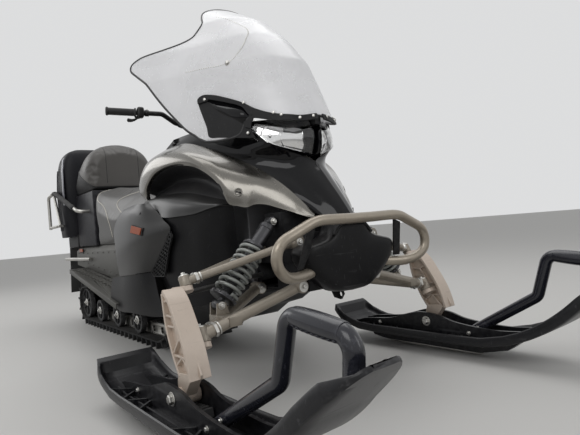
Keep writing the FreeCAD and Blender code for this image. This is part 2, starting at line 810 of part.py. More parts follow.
def make_ski():
    """The right-hand ski: deck, rails, saddle walls and cross ribs."""
    middle = -size("ski_stance") / 2
    half = size("ski_wide") / 2
    low = ski_line(0)
    top = ski_line(size("ski_deck"))
    deck = side_plate(low + top[::-1], middle - half, middle + half)
    toe = floor_plate(
        [(400, middle - half), (420, middle - half * 0.8), (520, middle - half), (1330, middle - half),
         (1500, middle - half * 0.93), (1600, middle - half * 0.75), (1652, middle - half * 0.3),
         (1652, middle + half * 0.3), (1600, middle + half * 0.75), (1500, middle + half * 0.93),
         (1330, middle + half), (520, middle + half), (420, middle + half * 0.8),
         (400, middle + half)], 0, 500)
    deck = deck.common(toe)
    rim_low = ski_line(0)
    rim_top = ski_line(34)
    ring = side_plate(rim_low + rim_top[::-1], middle - half, middle + half).common(toe)
    inner_toe = floor_plate(
        [(450, middle - half * 0.7), (520, middle - half + 6), (1330, middle - half + 6),
         (1500, middle - half * 0.93 + 6), (1590, middle - half * 0.72 + 6),
         (1630, middle - half * 0.28), (1630, middle + half * 0.28),
         (1590, middle + half * 0.72 - 6), (1500, middle + half * 0.93 - 6),
         (1330, middle + half - 6), (520, middle + half - 6), (450, middle + half * 0.7)], 0, 500)
    ring = ring.cut(inner_toe)
    pieces = [deck, ring]
    gap = size("ski_wall_gap") / 2
    wall = size("ski_wall")
    saddle = [(560, 76), (640, 56), (1190, 56), (1330, 100), (1180, 108), (1060, 122),
              (1000, 140), (930, 146), (880, 140), (760, 108), (640, 100)]
    for way in (-1, 1):
        near = middle + way * gap
        far = near + way * wall
        pieces.append(side_plate(saddle, min(near, far), max(near, far)))
    keel = [(620, size("ski_deck_z") + 2), (640, size("runner_tall") + 8), (700, size("runner_tall")),
            (1150, size("runner_tall")), (1260, size("runner_tall") + 24),
            (1330, size("ski_deck_z") + 36), (1300, size("ski_deck_z") + 24),
            (1150, size("ski_deck_z") + 2)]
    pieces.append(side_plate(keel, middle - 26, middle + 26))
    for step in range(RIB_COUNT):
        rib_x = RIB_REAR + step * RIB_PITCH
        for way in (-1, 1):
            near = middle + way * (gap + wall - 1)
            far = middle + way * (half - 7)
            pieces.append(box(Vector(rib_x, min(near, far), size("ski_deck_z") + 4),
                              Vector(rib_x + 7, max(near, far), size("ski_deck_z") + 24)))
    ski = fused(pieces)
    bore = rod(Vector(size("ski_bolt_x"), middle - 120, size("ski_bolt_z")),
               Vector(size("ski_bolt_x"), middle + 120, size("ski_bolt_z")),
               size("ski_bolt") + size("running_gap"))
    return ski.cut(bore)


def make_runner():
    """The steel wear bar under the keel."""
    middle = -size("ski_stance") / 2
    half = size("runner_wide") / 2
    gap = size("seat_gap")
    tall = size("runner_tall") - gap
    outline = [(704, 4), (760, 0), (1100, 0), (1150, 3), (1150, tall), (704, tall)]
    return side_plate(outline, middle - half, middle + half)


def make_ski_loop():
    """The pull loop over the front of the ski."""
    middle = -size("ski_stance") / 2
    points = [Vector(x, middle, z) for x, z in
              ((1110, 78), (1196, 128), (1372, 228), (1416, 366), (1586, 344), (1572, 240))]
    hoop = bent_tube(points, 34, size("loop_tube"))
    under = ski_line(size("ski_deck"))
    under = side_plate(under + [(under[-1][0], -100), (under[0][0], -100)], middle - 60, middle + 60)
    return hoop.cut(under)


ski = make_ski()
runner = make_runner()
loop = make_ski_loop()
for name, way in SIDES:
    feature(f"ski_{name}", ski if way == RIGHT else mirrored(ski))
    feature(f"ski_runner_{name}", runner if way == RIGHT else mirrored(runner))
    feature(f"ski_loop_{name}", loop if way == RIGHT else mirrored(loop))


# Front bumper: a bent tube with a loop at each side
def make_front_bumper():
    """The whole tube, from one lower end over the top bar to the other."""
    half = [Vector(1046, -150, 396), Vector(1080, -250, 392), Vector(1098, -318, 440),
            Vector(1104, -300, 478), Vector(1111, -160, 539)]
    points = half + [Vector(point.x, -point.y, point.z) for point in reversed(half)]
    return bent_tube(points, 26, size("bumper_tube"))


nose_cover = block((
    (size("frame_front") + size("panel_gap"),
     ((70, 312), (184, 400), (196, 455), (140, 540), (60, 546))),
    (1050, ((62, 318), (180, 404), (192, 455), (128, 536), (50, 546))),
    (1076, ((44, 348), (136, 410), (150, 455), (100, 520), (30, 540))),
))
feature("nose_cover", nose_cover)
feature("front_bumper", make_front_bumper().cut(nose_cover))


# Body panels: moulded shells whose outer faces follow tables of points
SWEEP = (
    # (x, y, z) of the top edge, crest, valley and low edge, from the nose over the arch to its rear
    ((989, 79, 568), (996, 85, 562), (998, 89, 557), (997, 90, 551)),
    ((965, 95, 600), (971, 104, 587), (972, 110, 574), (973, 114, 563)),
    ((942, 109, 629), (946, 122, 611), (946, 132, 594), (944, 138, 579)),
    ((914, 123, 659), (916, 140, 636), (914, 154, 614), (908, 162, 595)),
    ((886, 133, 683), (890, 157, 656), (886, 173, 631), (876, 184, 609)),
    ((833, 147, 721), (851, 183, 682), (848, 203, 648), (832, 212, 617)),
    ((797, 159, 744), (831, 200, 690), (834, 220, 644), (828, 228, 606)),
    ((751, 173, 769), (800, 220, 708), (811, 241, 656), (804, 246, 613)),
    ((714, 185, 788), (773, 237, 722), (785, 258, 667), (776, 262, 623)),
    ((656, 201, 816), (726, 252, 756), (758, 270, 706), (761, 272, 660)),
    ((601, 213, 839), (684, 266, 785), (724, 282, 738), (742, 282, 699)),
    ((546, 223, 860), (628, 280, 812), (672, 298, 772), (690, 296, 741)),
    ((467, 237, 884), (545, 294, 838), (592, 312, 798), (618, 306, 772)),
    ((385, 244, 891), (430, 308, 852), (468, 325, 804), (500, 310, 790)),
    ((300, 251, 889), (325, 317, 848), (345, 329, 792), (372, 311, 786)),
    ((230, 258, 878), (245, 320, 832), (272, 328, 762), (288, 310, 763)),
    ((168, 268, 856), (188, 321, 798), (238, 326, 736), (248, 308, 738)),
    ((122, 279, 820), (150, 318, 758), (225, 322, 715), (234, 306, 716)),
    ((106, 288, 783), (142, 314, 734), (218, 316, 700), (226, 302, 700)),
    ((130, 298, 740), (162, 308, 712), (212, 309, 690), (216, 298, 692)),
)
HOOD = (
    # middle or lamp side, half way, ridge and slope; the last point of a row is the sweep's top edge
    ((1072, 0, 554), (1060, 28, 554), (1030, 57, 557), (1008, 72, 560)),
    ((1048, 0, 588), (1036, 32, 587), (1006, 62, 589), (986, 80, 594)),
    ((1020, 0, 626), (1008, 35, 624), (978, 69, 620), (960, 90, 625)),
    ((990, 0, 664), (978, 39, 660), (949, 77, 652), (932, 100, 656)),
    ((960, 0, 703), (947, 42, 698), (916, 86, 688), (902, 110, 685)),
    ((928, 0, 744), (914, 46, 740), (880, 100, 722), (862, 122, 718)),
    ((904, 66, 774), (884, 92, 770), (844, 118, 759), (820, 138, 750)),
    ((886, 110, 794), (864, 124, 788), (816, 140, 780), (790, 156, 774)),
    ((866, 146, 814), (842, 152, 806), (796, 162, 797), (766, 174, 791)),
    ((800, 158, 846), (780, 164, 838), (744, 178, 826), (708, 190, 820)),
    ((720, 170, 868), (704, 178, 862), (680, 190, 852), (650, 204, 844)),
    ((640, 182, 890), (624, 188, 884), (604, 200, 874), (580, 212, 866)),
    ((550, 196, 912), (536, 202, 906), (516, 214, 898), (494, 226, 890)),
    ((450, 208, 928), (442, 214, 922), (428, 226, 910), (410, 236, 900)),
    ((320, 222, 928), (318, 228, 920), (314, 238, 908), (308, 246, 898)),
)
ARCH_FRONT = 8
COVER = (
    # recess, shoulder's inner line, crest and low edge, step, waist, hip and sill, from the front
    # back; the first point of a row is the sweep's low edge, from its row ARCH_FRONT on
    ((768, 252, 634), (762, 250, 630), (768, 262, 624), (774, 262, 619), (772, 256, 610),
     (760, 244, 545), (744, 232, 466), (735, 210, 352)),
    ((728, 244, 660), (722, 254, 644), (735, 276, 630), (748, 280, 622), (748, 270, 612),
     (732, 262, 540), (718, 244, 460), (712, 218, 340)),
    ((700, 238, 682), (680, 262, 654), (690, 300, 632), (705, 304, 614), (706, 294, 604),
     (690, 284, 538), (680, 264, 452), (680, 229, 324)),
    ((650, 236, 706), (625, 271, 668), (628, 318, 638), (640, 320, 604), (642, 310, 595),
     (630, 305, 535), (620, 290, 446), (615, 253, 290)),
    ((580, 236, 730), (550, 279, 684), (552, 327, 648), (560, 334, 602), (562, 326, 594),
     (560, 318, 535), (550, 308, 440), (545, 273, 272)),
    ((480, 238, 748), (460, 284, 694), (462, 331, 665), (470, 351, 604), (474, 342, 596),
     (470, 338, 540), (460, 332, 440), (460, 292, 264)),
    ((375, 244, 750), (360, 287, 699), (358, 330, 680), (360, 351, 622), (366, 343, 612),
     (380, 344, 548), (380, 340, 440), (400, 301, 264)),
    ((300, 256, 732), (290, 288, 700), (290, 328, 684), (296, 351, 646), (304, 343, 636),
     (330, 344, 556), (330, 338, 440), (350, 298, 292)),
    ((258, 268, 722), (248, 290, 699), (246, 324, 686), (250, 351, 656), (256, 338, 646),
     (310, 345, 556), (310, 338, 440), (328, 298, 304)),
    ((236, 284, 706), (230, 292, 698), (222, 316, 690), (226, 351, 664), (232, 334, 656),
     (300, 345, 556), (300, 340, 440), (320, 298, 312)),
)
KNEE = (
    # crown, shoulder, widest, calf, shin and foot, from the front edge to the rear one
    ((312, 348, 678), (386, 352, 640), (450, 352, 598), (498, 350, 556), (402, 350, 476),
     (306, 348, 402)),
    ((318, 364, 672), (330, 382, 640), (344, 388, 594), (370, 388, 538), (308, 384, 466),
     (254, 378, 398)),
    ((292, 374, 672), (248, 390, 644), (232, 398, 592), (246, 402, 526), (206, 396, 454),
     (176, 388, 392)),
    ((248, 374, 674), (154, 384, 648), (104, 392, 592), (110, 396, 518), (96, 392, 448),
     (90, 386, 385)),
    ((200, 366, 674), (66, 372, 656), (-28, 376, 592), (-30, 376, 512), (-26, 376, 438),
     (-10, 374, 378)),
    ((165, 344, 672), (12, 350, 652), (-100, 352, 592), (-106, 352, 509), (-96, 352, 435),
     (-74, 352, 376)),
)
GUARD = (
    # top, middle and low edge of the foot guard below the knee panel, from the front back
    ((306, 345, 401), (350, 352, 310), (400, 352, 232)),
    ((254, 374, 397), (266, 374, 306), (290, 366, 226)),
    ((176, 384, 391), (182, 386, 300), (190, 378, 228)),
    ((90, 382, 384), (92, 388, 300), (94, 382, 228)),
    ((-20, 370, 377), (-20, 380, 300), (-20, 376, 222)),
    ((-150, 364, 366), (-172, 368, 300), (-180, 368, 234)),
)


def make_hood():
    """The gloss centre panel, over the nose and back along both sides of the lamps."""
    rows = [row + (sweep[0],) for row, sweep in zip(HOOD, SWEEP)]
    half_hood = moulding(rows, size("panel_wall"))
    return half_hood.fuse(mirrored(half_hood))


hood = make_hood()
side_panel = moulding(SWEEP, size("panel_wall")).cut(hood)
for name, way in SIDES:
    feature(f"side_panel_{name}", side_panel if way == RIGHT else mirrored(side_panel))
feature("hood", hood)

VENT_OUTLINE = ((306, 408), (402, 482), (496, 552), (497, 534), (463, 495), (406, 386), (320, 384),
                (295, 402))
VENT_Y = 350
VENT_PITCH = 17
VENT_HOLE = 5.5
VENT_LINES = (
    # x and z of the first hole, number of holes
    ((352, 424), 8),
    ((356, 406), 8),
    ((372, 398), 6),
)


def make_knee_panel():
    """The broad panel in front of the rider's knee, with the slanted vent along its front edge."""
    shell = moulding(KNEE, size("panel_wall"))
    vent = side_plate(VENT_OUTLINE, -VENT_Y, -VENT_Y + size("panel_wall"))
    holes = []
    for (first_x, first_z), count in VENT_LINES:
        for step in range(count):
            place = Vector(first_x + step * VENT_PITCH * 0.74, -VENT_Y - 1, first_z + step * VENT_PITCH)
            holes.append(Part.makeCylinder(VENT_HOLE, 8, place, Vector(0, 1, 0)))
    return shell.fuse(vent.cut(Part.makeCompound(holes)))


def make_side_cover():
    """The dark cover under the arch, with the raised shoulder, down to the sill."""
    edges = [row[-1] for row in SWEEP[ARCH_FRONT:]]
    rows = [(edge,) + row for edge, row in zip(edges, COVER)]
    return moulding(rows, size("panel_wall"))


knee_panel = make_knee_panel()
side_cover = largest(make_side_cover().cut([knee_panel, side_panel]))
for name, way in SIDES:
    feature(f"knee_panel_{name}", knee_panel if way == RIGHT else mirrored(knee_panel))
    feature(f"side_cover_{name}", side_cover if way == RIGHT else mirrored(side_cover))

BELLY_LINES = (
    # x, keel y, keel z, side y, side z
    (374, 190, 156, 300, 264),
    (500, 160, 212, 283, 266),
    (600, 156, 236, 257, 282),
    (690, 136, 286, 225, 330),
    (733, 122, 306, 209, 350),
    (790, 112, 316, 116, 326),
)


def make_belly_pan():
    """The pan under the engine, open at the top."""
    outer = block([(x, ((keel_y, keel_z), (side_y, side_z))) for x, keel_y, keel_z, side_y, side_z
                   in BELLY_LINES])
    wall = size("panel_wall")
    rows = []
    for x, keel_y, keel_z, side_y, side_z in BELLY_LINES:
        rows.append((x, ((keel_y - wall, keel_z + wall), (side_y - wall, side_z + 1))))
    return outer.cut(block(rows))


belly_pan = make_belly_pan().cut([front_frame, lower_arm, mirrored(lower_arm), side_cover,
                                  mirrored(side_cover)])
feature("belly_pan", belly_pan)

FOOTWELL = ((-40, 254), (120, 246), (205, 420), (205, 600), (200, 600), (200, 421), (117, 251),
            (-40, 259))
FOOTWELL_EDGE = ((-40, 368), (92, 382), (182, 381), (206, 379))


def make_footwell():
    """The foot guard with the floor and the toe board that it carries."""
    inner = tunnel_half + size("seat_gap")
    plan = [(x, -y) for x, y in FOOTWELL_EDGE]
    plan += [(FOOTWELL_EDGE[-1][0], -inner), (FOOTWELL_EDGE[0][0], -inner)]
    boards = side_plate(FOOTWELL, -450, -inner).common(floor_plate(plan, 200, 640))
    guard = moulding(GUARD, size("panel_wall"))
    return guard.fuse(boards).cut([knee_panel, board_right, side_cover])


feature("footwells", both(make_footwell()))


# Windscreen: a sheet folded round a rounded nose, trimmed to its outline
SCREEN_LINES = (
    # z, x of the middle
    (825, 985), (900, 958), (1000, 916), (1120, 858), (1240, 758), (1340, 648), (1445, 470),
)
SCREEN_OUTLINE = (
    # half outline: y, z
    (0, 893), (70, 882), (150, 868), (228, 846), (268, 850), (300, 906), (330, 1006), (352, 1120),
    (372, 1190), (362, 1226), (330, 1250), (280, 1257), (228, 1268), (196, 1290), (158, 1344),
    (122, 1412), (60, 1436), (0, 1440),
)
BRACKET_OUTLINE = (
    (12, 908), (104, 930), (156, 990), (204, 1048), (236, 1034), (246, 960), (236, 848),
    (190, 850), (150, 866), (90, 880), (12, 890),
)
BRACKET_SLOT = ((120, 922), (168, 984), (206, 1020), (216, 1000), (186, 940), (140, 905))


def folded_sheet(inside, outside):
    """The screen's folded surface as a wall between two distances from its inner face."""
    slope = math.radians(size("screen_slope"))
    wires = []
    for z, apex in SCREEN_LINES:
        edges = []
        for distance in (inside, outside):
            radius = size("screen_nose") + distance
            centre = apex - size("screen_nose")
            turn_x = centre + radius * math.cos(slope)
            turn_y = radius * math.sin(slope)
            reach = 400 - turn_y
            end_x = turn_x - reach * math.tan(slope)
            edges.append((Vector(end_x, -400, z), Vector(turn_x, -turn_y, z),
                          Vector(centre + radius, 0, z), Vector(turn_x, turn_y, z),
                          Vector(end_x, 400, z)))
        inner, outer = edges
        wires.append(Part.Wire([
            Part.LineSegment(outer[0], outer[1]).toShape(),
            Part.Arc(outer[1], outer[2], outer[3]).toShape(),
            Part.LineSegment(outer[3], outer[4]).toShape(),
            Part.LineSegment(outer[4], inner[4]).toShape(),
            Part.LineSegment(inner[4], inner[3]).toShape(),
            Part.Arc(inner[3], inner[2], inner[1]).toShape(),
            Part.LineSegment(inner[1], inner[0]).toShape(),
            Part.LineSegment(inner[0], outer[0]).toShape(),
        ]))
    return Part.makeLoft(wires, True, True)


def make_windscreen():
    """The clear screen."""
    half = list(SCREEN_OUTLINE)
    outline = half + [(-y, z) for y, z in reversed(half[1:-1])]
    return folded_sheet(0, size("screen_thick")).common(front_plate(outline, -200, 1100))


def make_screen_bracket():
    """The black arm outside the screen's lower corner."""
    gap = size("seat_gap")
    wall = folded_sheet(size("screen_thick") + gap, size("screen_thick") + gap + 7)
    outline = [(-y, z) for y, z in BRACKET_OUTLINE]
    slot = [(-y, z) for y, z in BRACKET_SLOT]
    return wall.common(front_plate(outline, 0, 1100)).cut(front_plate(slot, 0, 1100))


windscreen = make_windscreen()
feature("windscreen", windscreen)
feature("screen_brackets", both(make_screen_bracket()))

# Headlamps, either side of the beak
LAMP_FACE = ((14.3, 757), (14.3, 884), (150, 864), (172, 862), (150, 813), (110, 793), (66, 773))
LAMP_PLAN = ((934, 14), (808, 172), (700, 172), (790, 14))
lamp_face = front_plate([(-y, z) for y, z in LAMP_FACE], 600, 1000)
lamp_plan = floor_plate([(x, -y) for x, y in LAMP_PLAN], 700, 950)
feature("headlamps", both(lamp_face.common(lamp_plan).cut(hood)))


# Dash: the cowl under the screen with the gauge pod and the column's boss
column_angle = math.radians(size("column_rake"))
column_way = Vector(-math.sin(column_angle), 0, math.cos(column_angle))
bar_centre = Vector(size("bar_x"), 0, size("bar_z"))


def make_dash():
    """Cowl, beak, pod and console."""
    cowl = block((
        (957, ((10, 830), (13, 894), (9, 900))),
        (926, ((14, 764), (14, 896), (9, 902))),
        (780, ((14, 800), (14, 884), (8, 888))),
    ))
    shelf = block((
        (780, ((12, 868), (12, 884), (8, 888))),
        (600, ((150, 880), (150, 892), (8, 896))),
        (400, ((190, 900), (196, 912), (120, 930))),
        (240, ((206, 860), (220, 900), (120, 950))),
        (120, ((190, size("tunnel_top") + size("seat_gap")), (200, 860), (90, 900))),
        (-60, ((150, size("tunnel_top") + size("seat_gap")), (150, 740), (80, 800))),
    ))
    pod = block((
        (360, ((90, 930), (96, 960), (70, 1000))),
        (270, ((100, 930), (110, 975), (80, 1010))),
    ))
    whole = fused([cowl, shelf, pod])
    under = box(Vector(300, -170, 500), Vector(1000, 170, 866))
    whole = whole.cut(under)
    bore = rod(bar_centre - column_way * 420, bar_centre, size("column_tube") + size("running_gap"))
    return whole.cut(bore).cut(windscreen).cut(hood)


feature("dash_console", make_dash())

column_foot = bar_centre - column_way * 260
column = rod(column_foot, bar_centre, size("column_tube"))
bar_points = [Vector(13, -size("bar_half"), 1109), Vector(70, -150, 1100), Vector(60, -80, 1062),
              Vector(60, 80, 1062), Vector(70, 150, 1100), Vector(13, size("bar_half"), 1109)]
bar = bent_tube(bar_points, 40, size("bar_tube"))
feature("handlebar", column.fuse(bar))


# Seats
tunnel_seat = size("tunnel_top") + size("seat_gap")
SEAT_ROWS = (
    # x, base y, base z, side y, side z, top y, top z
    (-60.3, 140, tunnel_seat, 150, 720, 70, 796),
    (-230, 160, tunnel_seat, 178, 680, 110, 815),
    (-550, 185, tunnel_seat, 196, 690, 140, 824),
    (-850, 190, tunnel_seat, 206, 770, 156, 868),
    (-912, 190, tunnel_seat, 206, 780, 150, 872),
)
PASSENGER_ROWS = (
    (-915, 190, 874, 196, 930, 120, 1010),
    (-970, 196, 866, 214, 960, 130, 1112),
    (-1090, 200, 862, 220, 980, 130, 1162),
    (-1220, 200, 862, 220, 980, 130, 1140),
    (-1296, 196, 866, 210, 980, 120, 1090),
)


def seat_rows(rows):
    """Half outlines for a seat from its table."""
    return [(row[0], ((row[1], row[2]), (row[3], row[4]), (row[5], row[6]))) for row in rows]


feature("driver_seat", block(seat_rows(SEAT_ROWS)))
feature("passenger_seat", block(seat_rows(PASSENGER_ROWS)))
feature("seat_base", block((
    (-915, ((200, tunnel_seat), (200, 861.7))),
    (-1296, ((200, tunnel_seat), (200, 861.7))),
)))
tail_cover = block((
    (-1296.3, ((203, tunnel_seat), (203, 600), (180, 618))),
    (-1540, ((203, tunnel_seat), (203, 590), (180, 598))),
))
backrest = block((
    (-1296.3, ((190, 612), (215, 900), (190, 1160), (120, 1190))),
    (-1380, ((262, 604), (272, 900), (250, 1150), (150, 1196))),
    (-1540, ((262, 592), (268, 900), (240, 1120), (150, 1150))),
)).cut(tail_cover)
feature("backrest", backrest)
feature("tail_cover", tail_cover)
feature("tail_lamp", box(Vector(-1562, -110, 530), Vector(-1540.3, 110, 586)))
feature("snow_flap", side_plate([(-1536, 520), (-1528, 520), (-1548, 380), (-1584, 199),
                                 (-1590, 200), (-1556, 380)], -203, 203))


# Rear tubes
def make_grab_rail():
    """The right-hand rail."""
    y = -296
    top = bent_tube([Vector(-1636, y, 660), Vector(-1636, y, 892), Vector(-1440, y, 900),
                     Vector(-1010, y + 30, 740), Vector(-1010, -200.3, 740)], 34, size("rail_tube"))
    low = rod(Vector(-1636, y, 672), Vector(-1330, y, 672), size("rail_tube") - 1)
    strut = rod(Vector(-1470, y, 896), Vector(-1346, y, 672), size("rail_tube") - 2)
    stay = rod(Vector(-1400, y, 672), Vector(-1400, -264.8, 672), size("rail_tube") - 3)
    return fused([top, low, strut, stay])


feature("grab_rails", both(make_grab_rail()))
bumper_y = tunnel_half + size("seat_gap") + size("rail_tube") + 0.2
rear_points = [Vector(-1000, -bumper_y, 440), Vector(-1638, -bumper_y, 440),
               Vector(-1638, bumper_y, 440), Vector(-1000, bumper_y, 440)]


def make_rear_bumper():
    """The tube round the tail with the hitch tongue on its inner side."""
    tube = bent_tube(rear_points, 60, size("rail_tube"))
    low = size("hitch_z") - size("hitch_plate") / 2
    tongue = floor_plate([(-1640, -34), (-1640, 34), (-1604, 22), (-1594, 12), (-1594, -12), (-1604, -22)],
                         low, low + size("hitch_plate"))
    bore = rod(Vector(size("hitch_x"), 0, low - 20), Vector(size("hitch_x"), 0, low + 40), size("pin_bore"))
    return tube.fuse(tongue).cut(bore)


feature("rear_bumper", make_rear_bumper())

doc.recompute()
made_nodes = [made for made in NODES if made.Label != "tunnel"]
for made in made_nodes:
    if "Invalid" in made.State or "Error" in made.State:
        raise RuntimeError(f"{made.Label} failed to recompute")
    if made.Shape.isNull() or not made.Shape.isValid():
        raise RuntimeError(f"{made.Label} has no valid shape")

os.makedirs("parts", exist_ok=True)
for made in made_nodes:
    name = "tunnel" if made.Label == "tunnel_sheet" else made.Label
    made.Shape.exportStep(f"parts/{name}.step")
    print(name, len(made.Shape.Solids), round(made.Shape.Volume / 1000), "cm3")
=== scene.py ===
"""Dresses the two-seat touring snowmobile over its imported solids.

The tables are in millimetres and the scene is in metres. +X is forward, +Y is left, +Z is up.
Paired pieces are drawn on the right-hand side, where y is negative, and mirrored for the left.
"""

from __future__ import annotations

import json
import logging
import math
from collections.abc import Callable, Iterable, Sequence
from dataclasses import dataclass
from enum import Enum

import bmesh
import bpy
import numpy as np
from mathutils import Matrix, Vector
from mathutils.bvhtree import BVHTree

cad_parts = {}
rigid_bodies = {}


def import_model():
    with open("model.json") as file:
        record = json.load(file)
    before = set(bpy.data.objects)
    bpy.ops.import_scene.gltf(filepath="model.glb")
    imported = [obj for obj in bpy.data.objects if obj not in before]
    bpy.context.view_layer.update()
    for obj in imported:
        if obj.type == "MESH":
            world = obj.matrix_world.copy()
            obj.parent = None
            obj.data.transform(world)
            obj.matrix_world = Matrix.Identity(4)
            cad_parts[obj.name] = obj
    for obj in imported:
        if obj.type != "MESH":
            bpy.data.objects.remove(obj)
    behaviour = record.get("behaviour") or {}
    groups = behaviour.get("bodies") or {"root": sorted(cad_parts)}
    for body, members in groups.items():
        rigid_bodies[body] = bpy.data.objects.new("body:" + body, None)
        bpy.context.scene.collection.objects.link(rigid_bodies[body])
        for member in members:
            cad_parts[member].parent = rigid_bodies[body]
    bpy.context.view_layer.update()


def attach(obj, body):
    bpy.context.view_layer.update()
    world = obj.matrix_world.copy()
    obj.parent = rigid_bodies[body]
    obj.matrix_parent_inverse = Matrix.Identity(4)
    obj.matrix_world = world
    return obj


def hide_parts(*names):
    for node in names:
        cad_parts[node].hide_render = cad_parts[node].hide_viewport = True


LOG = logging.getLogger("snowmobile")
MM = 0.001
CHASSIS = "chassis"
STEERING = "steering"
DOWN = Vector((0, 0, -1))
UP = Vector((0, 0, 1))
LEFT = Vector((0, 1, 0))
RIGHT = Vector((0, -1, 0))

Point = Sequence[float]
Colour = tuple[float, float, float]
Line = Sequence[tuple[float, float]]


class Side(Enum):
    """The side of the machine that a paired piece is on, with its direction along y."""

    RIGHT = ("right", -1)
    LEFT = ("left", 1)

    @property
    def way(self) -> int:
        """Gives its direction along y."""
        return self.value[1]

    def named(self, text: str) -> str:
        """Puts the side's name into the place kept for it."""
        return text.format(self.value[0])


# Shapes


def smooth_line(points: Sequence[Point], steps: int) -> list[Vector]:
    """Draws a smooth line through points.

    Args:
        points: The points it passes, in order.
        steps: How many pieces each stretch is divided into.

    Returns:
        The points of the line, both ends among them.
    """
    knots = [Vector(point) for point in points]
    if len(knots) == 2:
        return [knots[0].lerp(knots[1], index / steps) for index in range(steps + 1)]
    padded = [knots[0] * 2 - knots[1], *knots, knots[-1] * 2 - knots[-2]]
    line = []
    for before, start, end, after in zip(padded, padded[1:], padded[2:], padded[3:]):
        for index in range(steps):
            t = index / steps
            line.append(0.5 * (
                2 * start + (end - before) * t
                + (2 * before - 5 * start + 4 * end - after) * t ** 2
                + (3 * start - before - 3 * end + after) * t ** 3
            ))
    line.append(knots[-1])
    return line


def smooth_grid(rows: Sequence[Sequence[Point]], along: int, across: int) -> list[list[Vector]]:
    """Fills a table of points with a smooth sheet.

    Args:
        rows: Rows of points, each row as long as the others.
        along: Steps from one row to the next.
        across: Steps from one point of a row to the next.

    Returns:
        The finer rows.
    """
    lines = [smooth_line(row, across) for row in rows]
    columns = [smooth_line(column, along) for column in zip(*lines)]
    return [list(row) for row in zip(*columns)]


def at_y(line: Line, y: float = 0.0) -> list[Vector]:
    """Sets x and z values at one distance from the middle."""
    return [Vector((x, y, z)) for x, z in line]


def flipped(line: Sequence[Point]) -> list[Vector]:
    """Gives a line's twin on the other side, from its end to its start."""
    return [Vector((x, -y, z)) for x, y, z in reversed(line)]


def spokes(way: Point, count: int) -> list[Vector]:
    """Gives directions square to an axis, evenly round it.

    Args:
        way: The direction of the axis.
        count: How many there are.

    Returns:
        The unit directions.
    """
    axis = Vector(way).normalized()
    across = axis.orthogonal().normalized()
    other = axis.cross(across)
    turns = [math.tau * step / count for step in range(count)]
    return [across * math.cos(turn) + other * math.sin(turn) for turn in turns]


def squared(value: float, power: float) -> float:
    """Squares a sine or cosine off."""
    return math.copysign(abs(value) ** (2 / power), value)


